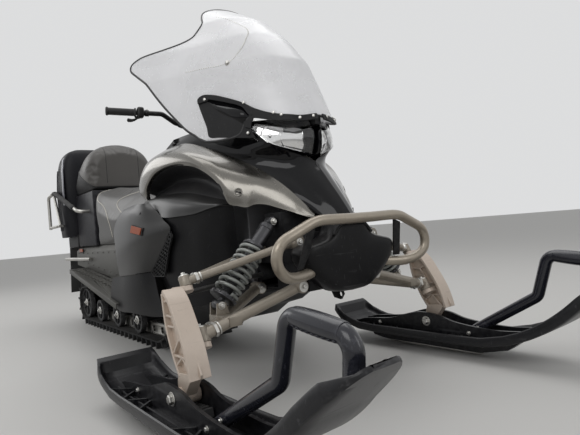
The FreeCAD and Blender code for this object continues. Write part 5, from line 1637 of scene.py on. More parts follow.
    def along(self, surface: BVHTree, y: float, lift: float) -> list[Vector]:
        """Lays a seam over the passenger's cushion from its front to its rear.

        Args:
            surface: The cushion, in metres.
            y: The distance from the middle, with its sign.
            lift: How far it stands off, in millimetres.

        Returns:
            The points of the line in millimetres.
        """
        middle = Vector((-1100, y, 900))
        turns = [math.radians(2 + 156 * step / 48) for step in range(49)]
        ways = [Vector((math.cos(turn), 0, math.sin(turn))) for turn in turns]
        return self.laid(surface, [(middle + way / MM, -way) for way in ways], lift)

    def driver(self) -> None:
        """The long grey seat with pale piping."""
        pad = self.loft("driver_cushion", self.DRIVER)
        Stuffing(voxel=9.0, reach=16.0).fill(pad, self.rest, self.DRIVER_BOX)
        self.smooth(pad)
        dressed(pad, [SEAT_VINYL], ["driver_seat"])
        surface = self.surface(pad)
        piping = Shape()
        for side in Side:
            for line in self.DRIVER_PIPING:
                piping.tube(self.seam(surface, line, side, 0.4), 2.2, 8)
        piping.tube(self.over(surface, -846, 128, 0.4), 2.2, 8)
        piping.make("driver_piping", [PIPING], "seat_vinyl")
        grooves = Shape()
        for x, reach in ((-300, 92), (-560, 104)):
            grooves.tube(self.over(surface, x, reach, -0.9), 1.9, 8)
        grooves.make("driver_seams", [DARK_VINYL], "seat_vinyl")

    def passenger(self) -> None:
        """The taupe hump with two seams and a dark piped rear edge."""
        pad = self.loft("passenger_cushion", self.PASSENGER)
        Stuffing(voxel=7.0, reach=22.0).fill(pad, self.passenger_rest, self.PASSENGER_BOX)
        self.smooth(pad)
        dressed(pad, [PASSENGER_VINYL, DARK_VINYL], ["passenger_seat"])
        places, heights = zip(*reversed(self.PASSENGER_EDGE))
        for polygon in pad.data.polygons:
            edge = np.interp(polygon.center.x / MM, places, heights)
            if polygon.center.z / MM < edge:
                polygon.material_index = 1
        surface = self.surface(pad)
        seams = Shape()
        for y in (-102, 102):
            seams.tube(self.along(surface, y, -0.6), 1.8, 8)
        seams.make("passenger_seams", [DARK_VINYL], "passenger_vinyl")
        edge = Shape().tube(self.over(surface, -1262, 176, 0.8), 3.2, 8)
        for side in Side:
            edge.tube(self.seam(surface, self.PASSENGER_EDGE, side, 0.5), 4.2, 8)
        edge.make("passenger_piping", [DARK_VINYL], "passenger_vinyl")

    def build(self) -> None:
        """Builds both seats."""
        self.driver()
        self.passenger()


@dataclass(frozen=True)
class Tail:
    """The back rest with its trunk, the lamp and what is fixed to the rear tubes."""

    squareness: float = 4.5
    round_steps: int = 64
    pleat_foot: float = 640.0
    lamp_face: float = -1556.0
    lamp_middle: float = 558.0
    lamp_half: Point = (110.0, 27.0)

    REST = (
        # z, half width, rear x, front x of each level of the back rest
        (592, 262, -1538, -1308), (640, 266, -1540, -1304), (760, 270, -1540, -1301),
        (900, 272, -1540, -1299), (1040, 262, -1532, -1300), (1120, 246, -1516, -1304),
        (1168, 214, -1486, -1316), (1190, 166, -1450, -1338),
    )
    # x from the middle of the band and how far out it is, round its section
    BAND = ((-15, 1.2), (-8, 2.4), (8, 2.4), (15, 1.2), (15, -5), (-15, -5))
    # x and z of the top of each pleat
    PLEATS = ((-1420, 1120), (-1450, 1090), (-1482, 1060))
    # x, y and z along the padded part of the rail
    HANDLE = ((-1470, 296, 899), (-1425, 295, 895), (-1330, 290, 860), (-1200, 282, 812),
              (-1080, 274, 766))
    # x, y, z and radius of each bolt
    BOLTS = ((-1476, 310, 899, 5), (-1400, 306.4, 672, 6), (-1346, 306.4, 672, 6))

    def loop(self, z: float, half: float, rear: float, front: float) -> list[Point]:
        """Gives a rounded rectangle round the body at a height.

        Args:
            z: The height.
            half: Half the width.
            rear: The x of its back.
            front: The x of its face.

        Returns:
            The points round it.
        """
        middle, reach = (rear + front) / 2, (front - rear) / 2
        turns = [math.tau * step / self.round_steps for step in range(self.round_steps)]
        return [(middle + reach * squared(math.cos(turn), self.squareness),
                 half * squared(math.sin(turn), self.squareness), z) for turn in turns]

    def half(self, z: float) -> float:
        """Gives the back rest's half width at a height."""
        return float(np.interp(z, *zip(*[row[:2] for row in self.REST])))

    def rest(self) -> None:
        """The tall black back rest with upright pleats and a grey band."""
        Shape().loft([self.loop(*level) for level in smooth_line(self.REST, 6)]).make(
            "back_rest_trunk", [TRUNK_BLACK], "trunk_black", ["backrest"], edge=9, segments=3,
            angle=40)
        band, pleats = Shape(), Shape()
        for side in Side:
            rows = []
            for step in range(25):
                share = step / 24
                z = 1186 - 380 * share
                x = -1392 + 78 * math.sin(share * math.pi / 2)
                rows.append([(x + along, side.way * (self.half(z) + out), z)
                             for along, out in self.BAND])
            band.loft(rows)
            for x, top in self.PLEATS:
                line = []
                for step in range(13):
                    z = top - (top - self.pleat_foot) * step / 12
                    line.append((x + 14 * step / 12, side.way * (self.half(z) - 0.5), z))
                pleats.tube(line, 3.4, 8)
        band.make("back_rest_band", [BAND_GREY], "trunk_black", edge=1.5)
        pleats.make("back_rest_pleats", [TRUNK_BLACK], "trunk_black")

    def rails(self) -> None:
        """The padded handles, clamps and bolts of the grab rails."""
        handle, metal = Shape(), Shape()
        for side in Side:
            path = smooth_line([(x, side.way * y, z) for x, y, z in self.HANDLE], 8)
            radii = [15.5 + 0.7 * math.sin(index * 1.1) for index in range(len(path))]
            radii[0] = radii[-1] = 12.4
            handle.tube(path, radii, 18)
            metal.tube([(-1486, side.way * 296, 898.5), (-1466, side.way * 296, 899)], 14, 18)
            for x, y, z, radius in self.BOLTS:
                metal.bolt((x, side.way * y, z), (0, side.way, 0), radius, 5)
        handle.make("rail_handles", [GRIP_RUBBER], "bar_black")
        metal.make("rail_clamps", [ZINC], "alloy_bare")

    def corners(self, x: float, grow: float = 0.0) -> list[Point]:
        """Gives the corners of the lamp's face, grown by some millimetres.

        Args:
            x: The place of the face.
            grow: How much larger it is all round.

        Returns:
            The four corners.
        """
        wide, tall = self.lamp_half
        return [(x, right * (wide + grow), self.lamp_middle + up * (tall + grow))
                for right, up in ((-1, -1), (1, -1), (1, 1), (-1, 1))]

    def lamp(self) -> None:
        """The ribbed tail lamp in its black frame."""
        lens = Shape()
        for index in range(21):
            y = -106 + 212 * index / 20
            lens.tube([(self.lamp_face - 4.6, y, 534), (self.lamp_face - 4.6, y, 582)], 4.6, 8)
        lens.slab(self.corners(self.lamp_face), (15, 0, 0))
        lens.make("tail_lens", [RED_LENS], "lamp_red", ["tail_lamp"], edge=1.0)
        rim = self.corners(self.lamp_face + 4, 2)
        Shape().tube([*rim, rim[0]], 4, 10).make("tail_lens_frame", [COVER_BLACK], "cover_black")

    def build(self) -> None:
        """Builds the tail."""
        self.rest()
        self.rails()
        self.lamp()


# Cockpit


@dataclass(frozen=True)
class Cockpit:
    """The dials, switches and cap on the console, and what is on the handlebar."""

    bar_bend: Point = (70.0, 150.0, 1100.0)
    bar_end: Point = (13.0, 383.0, 1109.0)
    pad_middle: Point = (59.0, 0.0, 1066.0)
    dial_x: float = 268.6
    dial_y: float = 47.0
    dial_z: float = 967.0
    dial_radius: float = 33.0

    KNOBS = (
        # x, y, z, radius and finish
        (168, -78, 923, 13, 1), (168, 78, 923, 11, 0), (118, -64, 899, 9, 0), (118, 64, 899, 9, 0),
    )
    # how far along the bar's end, and x and z from it
    LEVER = ((84, 32, 2), (108, 48, 0), (140, 52, -2), (180, 46, -4), (216, 40, -4), (240, 42, -3))
    LEVER_RADII = (*[6.5] * 12, *[5.2] * 13, *[5.6] * 5, 7.2)
    THUMB = ((108, -10, -22), (116, -24, -27), (126, -38, -27), (138, -46, -24))
    THUMB_RADII = (5, 5, 5, 5, 5, 6, 6, 6, 7, 7, 8, 8, 8, 9, 9, 7)

    def dials(self) -> None:
        """Two round dials with generic marks, in black bezels."""
        shape = Shape()
        way = Vector((-1, 0, 0))
        r = self.dial_radius
        for side in Side:
            centre = Vector((self.dial_x, side.way * self.dial_y, self.dial_z))
            shape.lathe(((r + 6, -6), (r + 6, 5), (r + 4, 8), (r + 1, 7), (r, 2)), centre, way, 40)
            shape.lathe(((r, 1.5), (r, 2.6), (r - 1, 2.9)), centre, way, 40, 1)
            base = centre + way * 2.9
            for step in range(25):
                turn = math.radians(-40 + 260 * step / 24)
                spoke = Vector((0, math.cos(turn), math.sin(turn)))
                long = 3.5 if step % 4 else 6.0
                shape.bar(base + spoke * (r - 3 - long), base + spoke * (r - 3),
                          way.cross(spoke) * 0.5, way * 0.5)
            hand = Vector((0, math.cos(math.radians(200)), math.sin(math.radians(200))))
            across = way.cross(hand)
            near, tip = centre + way * 4, centre + hand * (r - 7) + way * 4
            shape.slab([near - across * 1.6, near + across * 1.6, tip + across * 0.4,
                        tip - across * 0.4], way * 0.8, 2)
            shape.lathe(((4.5, 2.6), (4.5, 5.6), (2, 6.4)), centre, way, 16)
        shape.blob((self.dial_x, 0, 944), LEFT, UP, (9, 5, 4), 3, 2)
        shape.make("dash_dials", [BAR_BLACK, DIAL_WHITE, ORANGE_LENS], "cover_black", edge=0.4)

    def console(self) -> None:
        """The filler cap, the key switch and the knobs on the console."""
        way = Vector((-0.485, 0, 0.874))
        cap = Vector((30, 0, 850))
        shape = Shape().lathe(((46, -4), (46, 3), (40, 6)), cap, way, 40)
        shape.lathe(((33, 4), (33, 20), (30, 24), (12, 26)), cap, way, 20)
        for arm in spokes(way, 3):
            shape.blob(cap + arm * 18 + way * 25, arm, way, (17, 4.5, 4.5), 3)
        for x, y, z, radius, mark in self.KNOBS:
            shape.lathe(((radius + 4, -4), (radius + 4, 3), (radius, 5), (radius, 12),
                         (radius - 2, 14)), (x, y, z), (-0.3, 0, 0.95), 24, mark)
        shape.blob((166, -78, 940), (0.2, 1, 0), (-0.3, 0, 0.95), (3, 9, 9), 2.6)
        shape.make("console_fittings", [COVER_BLACK, ZINC], "cover_black", edge=0.6)

    def end(self, side: Side) -> tuple[Vector, Vector]:
        """Gives the start and direction of the bar's end on one side."""
        start, stop = [Vector((x, side.way * y, z)) for x, y, z in (self.bar_bend, self.bar_end)]
        return start, (stop - start).normalized()

    def grips(self) -> None:
        """The ribbed grips with their end flanges."""
        profile = [(12, 116), (21, 117), (21, 121), (16.2, 124)]
        for step in range(21):
            far = step * 5.2
            profile += [(15.0, 126 + far), (16.4, 127.6 + far), (16.4, 129.8 + far)]
        profile += [(19, 236), (19.4, 240), (16, 244), (6, 245)]
        shape = Shape()
        for side in Side:
            shape.lathe(profile, *self.end(side), 28)
        shape.make("bar_grips", [GRIP_RUBBER], "bar_black", body=STEERING)

    def arm(self, shape: Shape, side: Side, foot: tuple, line: Sequence[Point],
            radii: Sequence[float], mark: int) -> None:
        """Adds a lever and its foot.

        Args:
            shape: What it is added to.
            side: The side of the bar.
            foot: The foot's place by the bar, its half sizes and its power.
            line: The lever's places by the bar.
            radii: A radius for each point of the smoothed line.
            mark: The number of the lever's finish.
        """
        start, along = self.end(side)
        places = [start + along * far + Vector((x, 0, z)) for far, x, z in (foot[0], *line)]
        shape.blob(places[0], along, UP, foot[1], foot[2])
        steps = (len(radii) - 1) // (len(line) - 1)
        shape.tube(smooth_line(places[1:], steps), radii, 12, mark)

    def controls(self) -> None:
        """Switch housings, the thumb throttle, the brake lever and the bar's pad."""
        shape = Shape()
        for side in Side:
            start, along = self.end(side)
            middle = start + along * 98
            shape.blob(middle + Vector((4, 0, 0)), along, UP, (16, 22, 24))
            shape.blob(middle + Vector((-14, 0, 13)), along, UP, (6, 4, 4), 3, 1)
            shape.blob(middle + Vector((-16, 0, -4)), along, UP, (5, 4, 4), 3, 2)
            shape.lathe(((14.5, 60), (14.5, 76), (13, 78)), start, along, 24)
            shape.bolt(start + along * 68 + UP * 14, UP, 4, 4, 2)
        self.arm(shape, Side.LEFT, ((92, 24, 4), (26, 13, 12), 3.4), self.LEVER, self.LEVER_RADII, 2)
        self.arm(shape, Side.RIGHT, ((108, -6, -20), (12, 8, 6), 3), self.THUMB, self.THUMB_RADII, 0)
        shape.make("bar_controls", [BAR_BLACK, RED_LENS, ZINC], "bar_black", body=STEERING, edge=0.8)
        centre = Vector(self.pad_middle)
        pad = Shape().blob(centre, LEFT, (-0.62, 0, 0.79), (74, 25, 20), 3.2)
        turns = [math.tau * step / 24 for step in range(25)]
        for y in (-46, 0, 46):
            pad.tube([centre + Vector((27 * math.cos(turn), y, 22.5 * math.sin(turn)))
                      for turn in turns], 1.3, 6, 1)
        pad.make("bar_pad", [TRUNK_BLACK, GRIP_RUBBER], "bar_black", body=STEERING)

    def build(self) -> None:
        """Builds everything in front of the rider."""
        self.dials()
        self.console()
        self.grips()
        self.controls()


# Suspension and skis


@dataclass(frozen=True)
class FrontCorner:
    """Where the right-hand spindle turns between the wishbones."""

    caster: float = 27.0
    lower_joint: Point = (955.0, -490.0, 257.0)
    joint_rise: float = 161.0

    def joints(self) -> tuple[Vector, Vector, Vector]:
        """Places the turning axis and its two joints.

        Returns:
            The axis's direction, the upper joint and the lower joint.
        """
        lean = math.radians(self.caster)
        way = Vector((-math.sin(lean), 0, math.cos(lean)))
        lower = Vector(self.lower_joint)
        return way, lower + way * self.joint_rise, lower


@dataclass(frozen=True)
class Suspension:
    """Nuts, bolts, boots and collars of the front suspension."""

    corner: FrontCorner = FrontCorner()
    pivot_y: float = -165.0
    shock_foot: Point = (887.0, -395.0, 320.0)
    shock_top: Point = (887.0, -180.0, 552.0)

    # x, z and radius of the bushes, the upper wishbone's first
    PIVOTS = ((985, 482, 17), (778, 462, 17), (985, 346, 22), (760, 332, 22))

    def joints(self) -> None:
        """Ball-joint caps and the lock nuts on the wishbones' outer ends."""
        kingpin, upper, lower = self.corner.joints()
        shape = Shape().lathe(((15.5, 0), (15.5, 3), (12, 6), (5, 7)), upper + kingpin * 15, kingpin)
        shape.bolt(upper + kingpin * 21, kingpin, 6.5, 6)
        shape.lathe(((19, 0), (19, 3), (15, 6), (6, 7)), lower + kingpin * 20, kingpin)
        shape.bolt(lower + kingpin * 26, kingpin, 7.5, 6)
        for joint, pivots, near, radius in ((upper, self.PIVOTS[:2], 30, 12),
                                            (lower, self.PIVOTS[2:], 36, 17)):
            for x, z, _ in pivots:
                way = (Vector((x, self.pivot_y, z)) - joint).normalized()
                collar = ((radius, 0), (radius + 4.5, 0.4), (radius + 4.5, 9), (radius, 9.5))
                shape.lathe(collar, joint + way * near, way, 6)
                ring = ((radius, 0), (radius + 2.6, 0.8), (radius + 2.6, 5), (radius, 6))
                shape.lathe(ring, joint + way * (near + 12), way)
        shape.both().make("arm_joint_nuts", [ZINC], "arm_champagne", edge=0.5)

    def pivots(self) -> None:
        """Bolts through the bushes on the frame and through the shock's eyes."""
        shape = Shape()
        for way in (Vector((-1, 0, 0)), Vector((1, 0, 0))):
            for x, z, radius in self.PIVOTS:
                place = Vector((x, self.pivot_y, z))
                shape.lathe(((radius - 5, 22.8), (radius - 5, 25)), place, way)
                shape.bolt(place + way * 24.4, way, 7, 6)
            shape.bolt(Vector(self.shock_top) + way * 16, way, 8, 8)
            shape.bolt(Vector(self.shock_foot) + way * 21.3, way, 8, 8)
        shape.both().make("pivot_bolts", [ZINC], "arm_champagne", edge=0.5)

    def shocks(self) -> None:
        """Adjuster rings, the threaded body and the rod's boot."""
        foot, top = Vector(self.shock_foot), Vector(self.shock_top)
        way = (top - foot).normalized()
        long = (top - foot).length
        thread = []
        for step in range(12):
            thread += [(16.2, 44 + step * 4.4), (18.0, 46.2 + step * 4.4)]
        shape = Shape().lathe(thread, foot, way)
        shape.lathe(((41, 22), (43, 23), (43, 27), (40.5, 29)), foot, way, 20)
        for spoke in spokes(way, 10):
            shape.blob(foot + way * 29 + spoke * 40.5, spoke, way, (3.4, 4.4, 4.4))
        for profile in (((24.5, 106), (26.5, 104), (26.5, 96), (24.5, 94)),
                        ((24.6, 34), (25.6, 33), (25.6, 22), (22, 18))):
            shape.lathe([(radius, long - down) for radius, down in profile], foot, way, 32)
        shape.both().make("shock_collars", [SHOCK_DARK], "shock_dark", edge=0.5)

    def build(self) -> None:
        """Builds the hardware."""
        self.joints()
        self.pivots()
        self.shocks()


@dataclass(frozen=True)
class Spindle:
    """The cast blades with a broad front flange, pocketed web, joint ears and steering arm."""

    corner: FrontCorner = FrontCorner()
    middle: float = -540.0
    tip: Point = (800.0, -490.0, 345.0)
    foot: Point = (945.0, -540.0, 112.0)
    ear: float = 16.0
    ear_gap: float = 0.3

    # x and z down the front flange, and up the rear one
    FRONT = ((903, 391), (934, 366), (962, 328), (1003, 258), (1022, 210), (1033, 168))
    REAR = ((938, 160), (905, 214), (874, 290), (862, 376))
    RIBS = (
        # x and z of the ribs between the pockets
        ((864, 352), (902, 362), (926, 344)), ((868, 318), (914, 316), (956, 338)),
        ((876, 288), (930, 290), (946, 258), (905, 214)), ((946, 258), (1000, 262)),
        ((930, 290), (914, 316)), ((905, 214), (960, 214), (1020, 214)),
        ((920, 186), (960, 214)), ((960, 214), (998, 176)),
    )
    # x and z round the leg at the ski's bolt
    LEG = ((924, 112), (966, 112), (984, 138), (1010, 168), (1004, 178), (938, 172), (928, 150))

    def flange(self, shape: Shape, line: Line, half: float, thick: float) -> None:
        """Adds a curved strip across the blade.

        Args:
            shape: The shape it joins.
            line: The x and z of its outer face.
            half: Half its width.
            thick: Its thickness.
        """
        path = smooth_line(at_y(line, self.middle), 6)
        across = LEFT * half
        rows = []
        for index, point in enumerate(path):
            along = path[min(index + 1, len(path) - 1)] - path[max(index - 1, 0)]
            inner = point + LEFT.cross(along).normalized() * thick
            rows.append([point - across, point + across, inner + across, inner - across])
        shape.loft(rows)

    def casting(self) -> Shape:
        """The whole blade.

        Returns:
            The right-hand blade.
        """
        shape = Shape()
        self.flange(shape, self.FRONT, 30, 11)
        self.flange(shape, self.REAR, 18, 9)
        outline = at_y((*self.FRONT, *self.REAR), self.middle - 3.5)
        shape.slab(smooth_line(outline, 3), (0, 7, 0))
        for line in self.RIBS:
            places = at_y(line, self.middle - 15)
            for start, end in zip(places, places[1:]):
                shape.bar(start, end, LEFT.cross(end - start).normalized() * 3.2, (0, 30, 0))
        shape.slab(at_y(self.LEG, self.middle - 17), (0, 34, 0))
        shape.lathe(((24, -30), (24, 30)), self.foot, LEFT, 32)
        shape.lathe(((8, -54), (8, 54)), self.foot, LEFT, 20, 1)
        way, upper, lower = self.corner.joints()
        for joint, below, radius in ((upper, 15, 16), (lower, 20, 19)):
            top = joint - way * (below + self.ear_gap)
            shape.lathe(((radius, -self.ear), (radius, 0)), top, way, 28)
            foot = top - way * self.ear
            shape.bar(foot, foot + RIGHT * 50, LEFT.cross(way) * (radius - 2), way * self.ear)
        tip, root = Vector(self.tip), Vector((901, self.middle, 363))
        shape.lathe(((14, -14), (14, 0)), tip, way)
        return shape.tube([tip - way * 8, tip.lerp(root, 0.5) - way * 12, root], [9.5, 10, 12], 18)

    def build(self) -> None:
        """Builds both blades."""
        self.casting().pair("spindle_casting_{}", [SPINDLE_CAST, ZINC], "spindle_cast",
                            "spindle_{}", "spindle_{}_body", edge=1.8, segments=3)


@dataclass(frozen=True)
class Ski:
    """The moulded skis: curled deck with a rounded rim, saddle rails, ribs and keel."""

    middle: float = -540.0
    half: float = 106.0
    deck_z: float = 52.0
    curl_x: float = 1150.0
    curl: float = 550.0
    steepest: float = math.radians(45)
    rail_gap: float = 33.0
    rail: float = 10.0
    rim: float = 33.0

    # x and the share of the half width there
    PLAN = ((468, 0.88), (490, 0.95), (530, 0.995), (620, 1.0), (1300, 1.0), (1400, 0.985),
            (1480, 0.945), (1540, 0.88), (1590, 0.78), (1625, 0.62), (1642, 0.46), (1650, 0.30))
    SECTION = (
        # share of the half width and height above the underside, from the middle of the deck round
        (0.0, 8.0), (0.45, 8.0), (0.74, 9.0), (0.82, 13.0), (0.87, 24.0), (0.91, 32.0), (0.95, 34.0),
        (0.985, 31.0), (1.0, 22.0), (1.0, 10.0), (0.975, 3.0), (0.92, 0.0), (0.5, -0.5), (0.0, -0.5),
    )
    # x and z along the top of the saddle rails
    RAIL_TOP = ((560, 78), (610, 92), (680, 100), (760, 108), (830, 126), (880, 140), (930, 146),
                (1000, 140), (1060, 122), (1120, 113), (1180, 108), (1250, 106), (1330, 112))
    # x of each rib's ends
    LATTICE = ((600, 640), (664, 704), (728, 768), (792, 832), (1032, 1072), (1096, 1136),
               (1160, 1200), (1224, 1264))
    # x and the underside's height over the deck's level
    HEEL = ((468, 70), (520, 34), (600, 6), (660, 0), (1150, 0))
    # x and z round the keel
    KEEL = ((620, 51), (644, 20), (704, 10.4), (1150, 10.4), (1262, 35), (1330, 83), (1300, 76),
            (1150, 54))

    def height(self, x: float) -> float:
        """The underside's height at a place along the ski.

        Args:
            x: The place.

        Returns:
            The height in millimetres.
        """
        if x <= self.curl_x:
            return self.deck_z + float(np.interp(x, *zip(*self.HEEL)))
        turn = min(math.asin(min((x - self.curl_x) / self.curl, 1.0)), self.steepest)
        beyond = max(x - self.curl_x - self.curl * math.sin(self.steepest), 0)
        return self.deck_z + self.curl * (1 - math.cos(turn)) + beyond * 0.85

    def deck(self, shape: Shape) -> None:
        """Adds the deck with its rim, lower towards the tip and full at the heel.

        Args:
            shape: What it is added to.
        """
        outline = [*self.SECTION, *[(-share, lift) for share, lift in reversed(self.SECTION[1:-1])]]
        rows = []
        for x, width in smooth_line(self.PLAN, 6):
            slope = (self.height(x + 2) - self.height(x - 2)) / 4
            up = Vector((-slope, 0, 1)).normalized()
            base = Vector((x, self.middle, self.height(x)))
            heel = min(1.0, max((500 - x) / 22, 0.0))
            tip = min(1.0, max((1656 - x) / 60, 0.25))
            section = []
            for share, lift in outline:
                if lift >= 8:
                    lift += (self.rim - lift) * heel
                section.append(base + up * (lift * tip if lift > 10 else lift)
                               + LEFT * self.half * width * share)
            rows.append(section)
        shape.loft(rows)

    def rails(self, shape: Shape) -> None:
        """Adds the saddle rails, the keel and the ribs between the rails and the rim.

        Args:
            shape: What they are added to.
        """
        rows = []
        for x, top in smooth_line(self.RAIL_TOP, 5):
            low = self.height(x) + 3
            rows.append((x, low, max(top, low + 8)))
        fence = [(x, self.height(x) + 7) for x in range(590, 1300, 30)]
        for way in (-1, 1):
            near = self.middle + way * self.rail_gap
            far = near + way * self.rail
            shape.loft([[(x, near, low), (x, near, high), (x, far, high), (x, far, low)]
                        for x, low, high in rows])
            outer = self.middle + way * self.half * 0.86
            for index, (first, second) in enumerate(self.LATTICE):
                start_x, end_x = (first, second) if index % 2 else (second, first)
                start = Vector((start_x, far, self.height(start_x) + 7))
                end = Vector((end_x, outer, self.height(end_x) + 7))
                shape.bar(start, end, UP.cross(end - start).normalized() * 3.2, (0, 0, 16))
            line = self.middle + way * self.half * 0.62
            shape.loft([[(x, line - 2.6, z), (x, line - 2.6, z + 11), (x, line + 2.6, z + 11),
                         (x, line + 2.6, z)] for x, z in fence])
        shape.slab(at_y(self.KEEL, self.middle - 24), (0, 48, 0))

    def tip(self, shape: Shape) -> None:
        """Adds the ribs that stiffen the curled tip.

        Args:
            shape: What they are added to.
        """
        for y in (-52, 0, 52):
            rows = []
            for step in range(15):
                x = 1330 + step * 19
                z = self.height(x) + 7.5
                lift = 9 * math.sin(math.pi * step / 14)
                middle = self.middle + y * (1 - 0.35 * step / 14)
                rows.append([(x, middle - 3.4, z), (x, middle - 2.4, z + lift),
                             (x, middle + 2.4, z + lift), (x, middle + 3.4, z)])
            shape.loft(rows)

    def build(self) -> None:
        """Builds both skis."""
        shape = Shape()
        self.deck(shape)
        self.rails(shape)
        self.tip(shape)
        shape.pair("ski_moulding_{}", [SKI_PLASTIC], "ski_plastic", "ski_{}", "ski_{}_body",
                   edge=1.5, angle=40)


@dataclass(frozen=True)
class SkiFittings:
    """Saddle nut, damper block, grip pad and loop bolts of each ski."""

    middle: float = -540.0
    bolt_x: float = 945.0
    bolt_z: float = 112.0
    loop_radius: float = 19.0

    # x, z, distance from the ski's middle and radius of each bolt
    BOLTS = ((1128, 84, 43, 6), (700, 84, 43, 6), (1150, 101, 18.4, 5.5), (1566, 262, 18.4, 5.5))

    def damper(self) -> Shape:
        """The notched rubber block under the spindle's foot.

        Returns:
            The right-hand block.
        """
        outline = [(868, 61), (1024, 61), (1034, 68)]
        for step in range(8):
            x = 1028 - step * 19
            crest = 82 + 7 * min(abs(x - self.bolt_x) / 60, 1)
            outline += [(x, crest), (x - 11, crest), (x - 11, crest - 9), (x - 18, crest - 9)]
        outline += [(872, 84), (862, 70)]
        return Shape().slab(at_y(outline, self.middle - 28), (0, 56, 0))

    def steel(self) -> Shape:
        """The saddle's nuts with their washers, and the bolts.

        Returns:
            The right-hand ones.
        """
        shape = Shape()
        for way in (-1, 1):
            out = (0, way, 0)
            foot = (self.bolt_x, self.middle + way * 43.2, self.bolt_z)
            nut = (self.bolt_x, self.middle + way * 45.6, self.bolt_z)
            shape.lathe(((19, 0), (19, 2.4)), foot, out)
            shape.lathe(((13, 0), (13, 8.5), (11, 10)), nut, out, 6)
            for x, z, reach, radius in self.BOLTS:
                shape.bolt((x, self.middle + way * reach, z), out, radius, 5)
        return shape

    def swell(self, share: float) -> float:
        """How far the grip pad stands out at a share of its length."""
        return 3.2 * math.sin(math.pi * share) ** 0.6

    def grip(self) -> Shape:
        """The pad round the loop, with studs below.

        Returns:
            The right-hand pad.
        """
        start, end = Vector((1432, self.middle, 364)), Vector((1568, self.middle, 346.5))
        length = (end - start).length - 8
        profile = [(self.loop_radius + 0.2 + self.swell(step / 20), 4 + step / 20 * length)
                   for step in range(21)]
        shape = Shape().lathe(profile, start, end - start, 36)
        below = Vector((0, -0.75, -0.66))
        for step in range(1, 10):
            share = step / 10
            place = start.lerp(end, share) + below * (self.loop_radius + self.swell(share) - 0.4)
            shape.lathe(((4.2, 0), (3.6, 1.4), (1.2, 1.9)), place, below, 14)
        return shape

    def build(self) -> None:
        """Builds both skis' fittings."""
        for shape, name, finish, slot in (
                (self.steel(), "ski_bolts_{}", ZINC, "runner_steel"),
                (self.damper(), "ski_damper_{}", GRIP_RUBBER, "ski_plastic"),
                (self.grip(), "ski_grip_pad_{}", LOOP_PLASTIC, "loop_plastic")):
            shape.pair(name, [finish], slot, body="ski_{}_body", edge=0.8)


@dataclass(frozen=True)
class Chassis:
    """Rivets, wheel caps, raised board holes and side marks of the rear half."""

    tunnel_half: float = 206.0
    rivet_rear: float = -1296.0
    rivet_pitch: float = 104.0
    rivet_z: float = 478.0
    first_row: float = 240.3
    row_pitch: float = 46.0
    hole_pitch: float = 62.0
    cap_y: float = 172.0
    hub: float = 22.0
    tyre: float = 16.0

    # x, z and radius
    WHEELS = ((-1325, 141.9, 100), (-1040, 109.3, 67), (-720, 109.3, 67), (-400, 109.3, 67))

    def rivets(self) -> None:
        """Rows of rivets along the tunnel."""
        shape = Shape()
        head = ((5.4, -1), (5.4, 0.6), (4.0, 2.2), (1.6, 3.0))
        for step in range(12):
            x = self.rivet_rear + step * self.rivet_pitch
            shape.lathe(head, (x, -self.tunnel_half, self.rivet_z), RIGHT, 14)
            if x < -60:
                low = 292 + (x + 40) / -1110 * 128
                shape.lathe(head, (x, -self.tunnel_half, low), RIGHT, 14)
        shape.both().make("tunnel_rivets", [SHADE_DARKENED_ALLOY], "alloy_sheet")

    def board_rings(self) -> None:
        """The raised rims of the boards' holes."""
        front, rear = Vector((-40, 0, 258)), Vector((-1150, 0, 384))
        along, long = (rear - front).normalized(), (rear - front).length
        turns = [math.tau * step / 20 for step in range(21)]
        shape = Shape()
        for row in range(2):
            base = front + LEFT.cross(along) * 0.8 + RIGHT * (self.first_row + row * self.row_pitch)
            for step in range(int(long / self.hole_pitch)):
                far = 40 + (step + row / 2) * self.hole_pitch
                if far < long - 30:
                    shape.tube([base + along * far + (along * math.cos(turn) + LEFT * math.sin(turn))
                                * 13.2 for turn in turns], 1.9, 6)
        shape.both().make("board_raised_rims", [SHADE_DARKENED_ALLOY], "alloy_sheet")

    def wheel_caps(self) -> None:
        """Hub caps, bearings and spokes of the outer wheels."""
        shape = Shape()
        profile = ((24, -10), (24, 1), (20, 3), (14, 3.4), (13, 8), (8, 10))
        for x, z, radius in self.WHEELS:
            place = Vector((x, -self.cap_y, z))
            shape.lathe(profile, place, RIGHT, 24, 1)
            shape.bolt(place + RIGHT * 8, RIGHT, 7, 6, 1)
            rim = radius - self.tyre
            for step in range(6):
                turn = math.tau * (step + 0.5) / 6
                spoke = Vector((math.cos(turn), 0, math.sin(turn)))
                shape.blob(place + LEFT * 5 + spoke * (rim + self.hub) / 2, spoke, LEFT,
                           ((rim - self.hub) / 2 + 2, 5, 5))
        shape.both().make("wheel_caps", [WHEEL_BLACK, ZINC], "wheel_black", edge=0.6)

    def marks(self) -> None:
        """The orange reflector at each side of the tail."""
        face = at_y(((-1250, 482), (-1170, 482), (-1170, 510), (-1250, 510)), -207)
        lens = at_y(((-1245, 486), (-1175, 486), (-1175, 506), (-1245, 506)), -211)
        Shape().slab(face, RIGHT * 5).slab(lens, RIGHT * 4, 1).pair(
            "tail_reflector_{}", [COVER_BLACK, ORANGE_LENS], "alloy_sheet", edge=1.2)

    def build(self) -> None:
        """Builds the rear half's details."""
        self.rivets()
        self.board_rings()
        self.wheel_caps()
        self.marks()


# Solids that keep their own shape


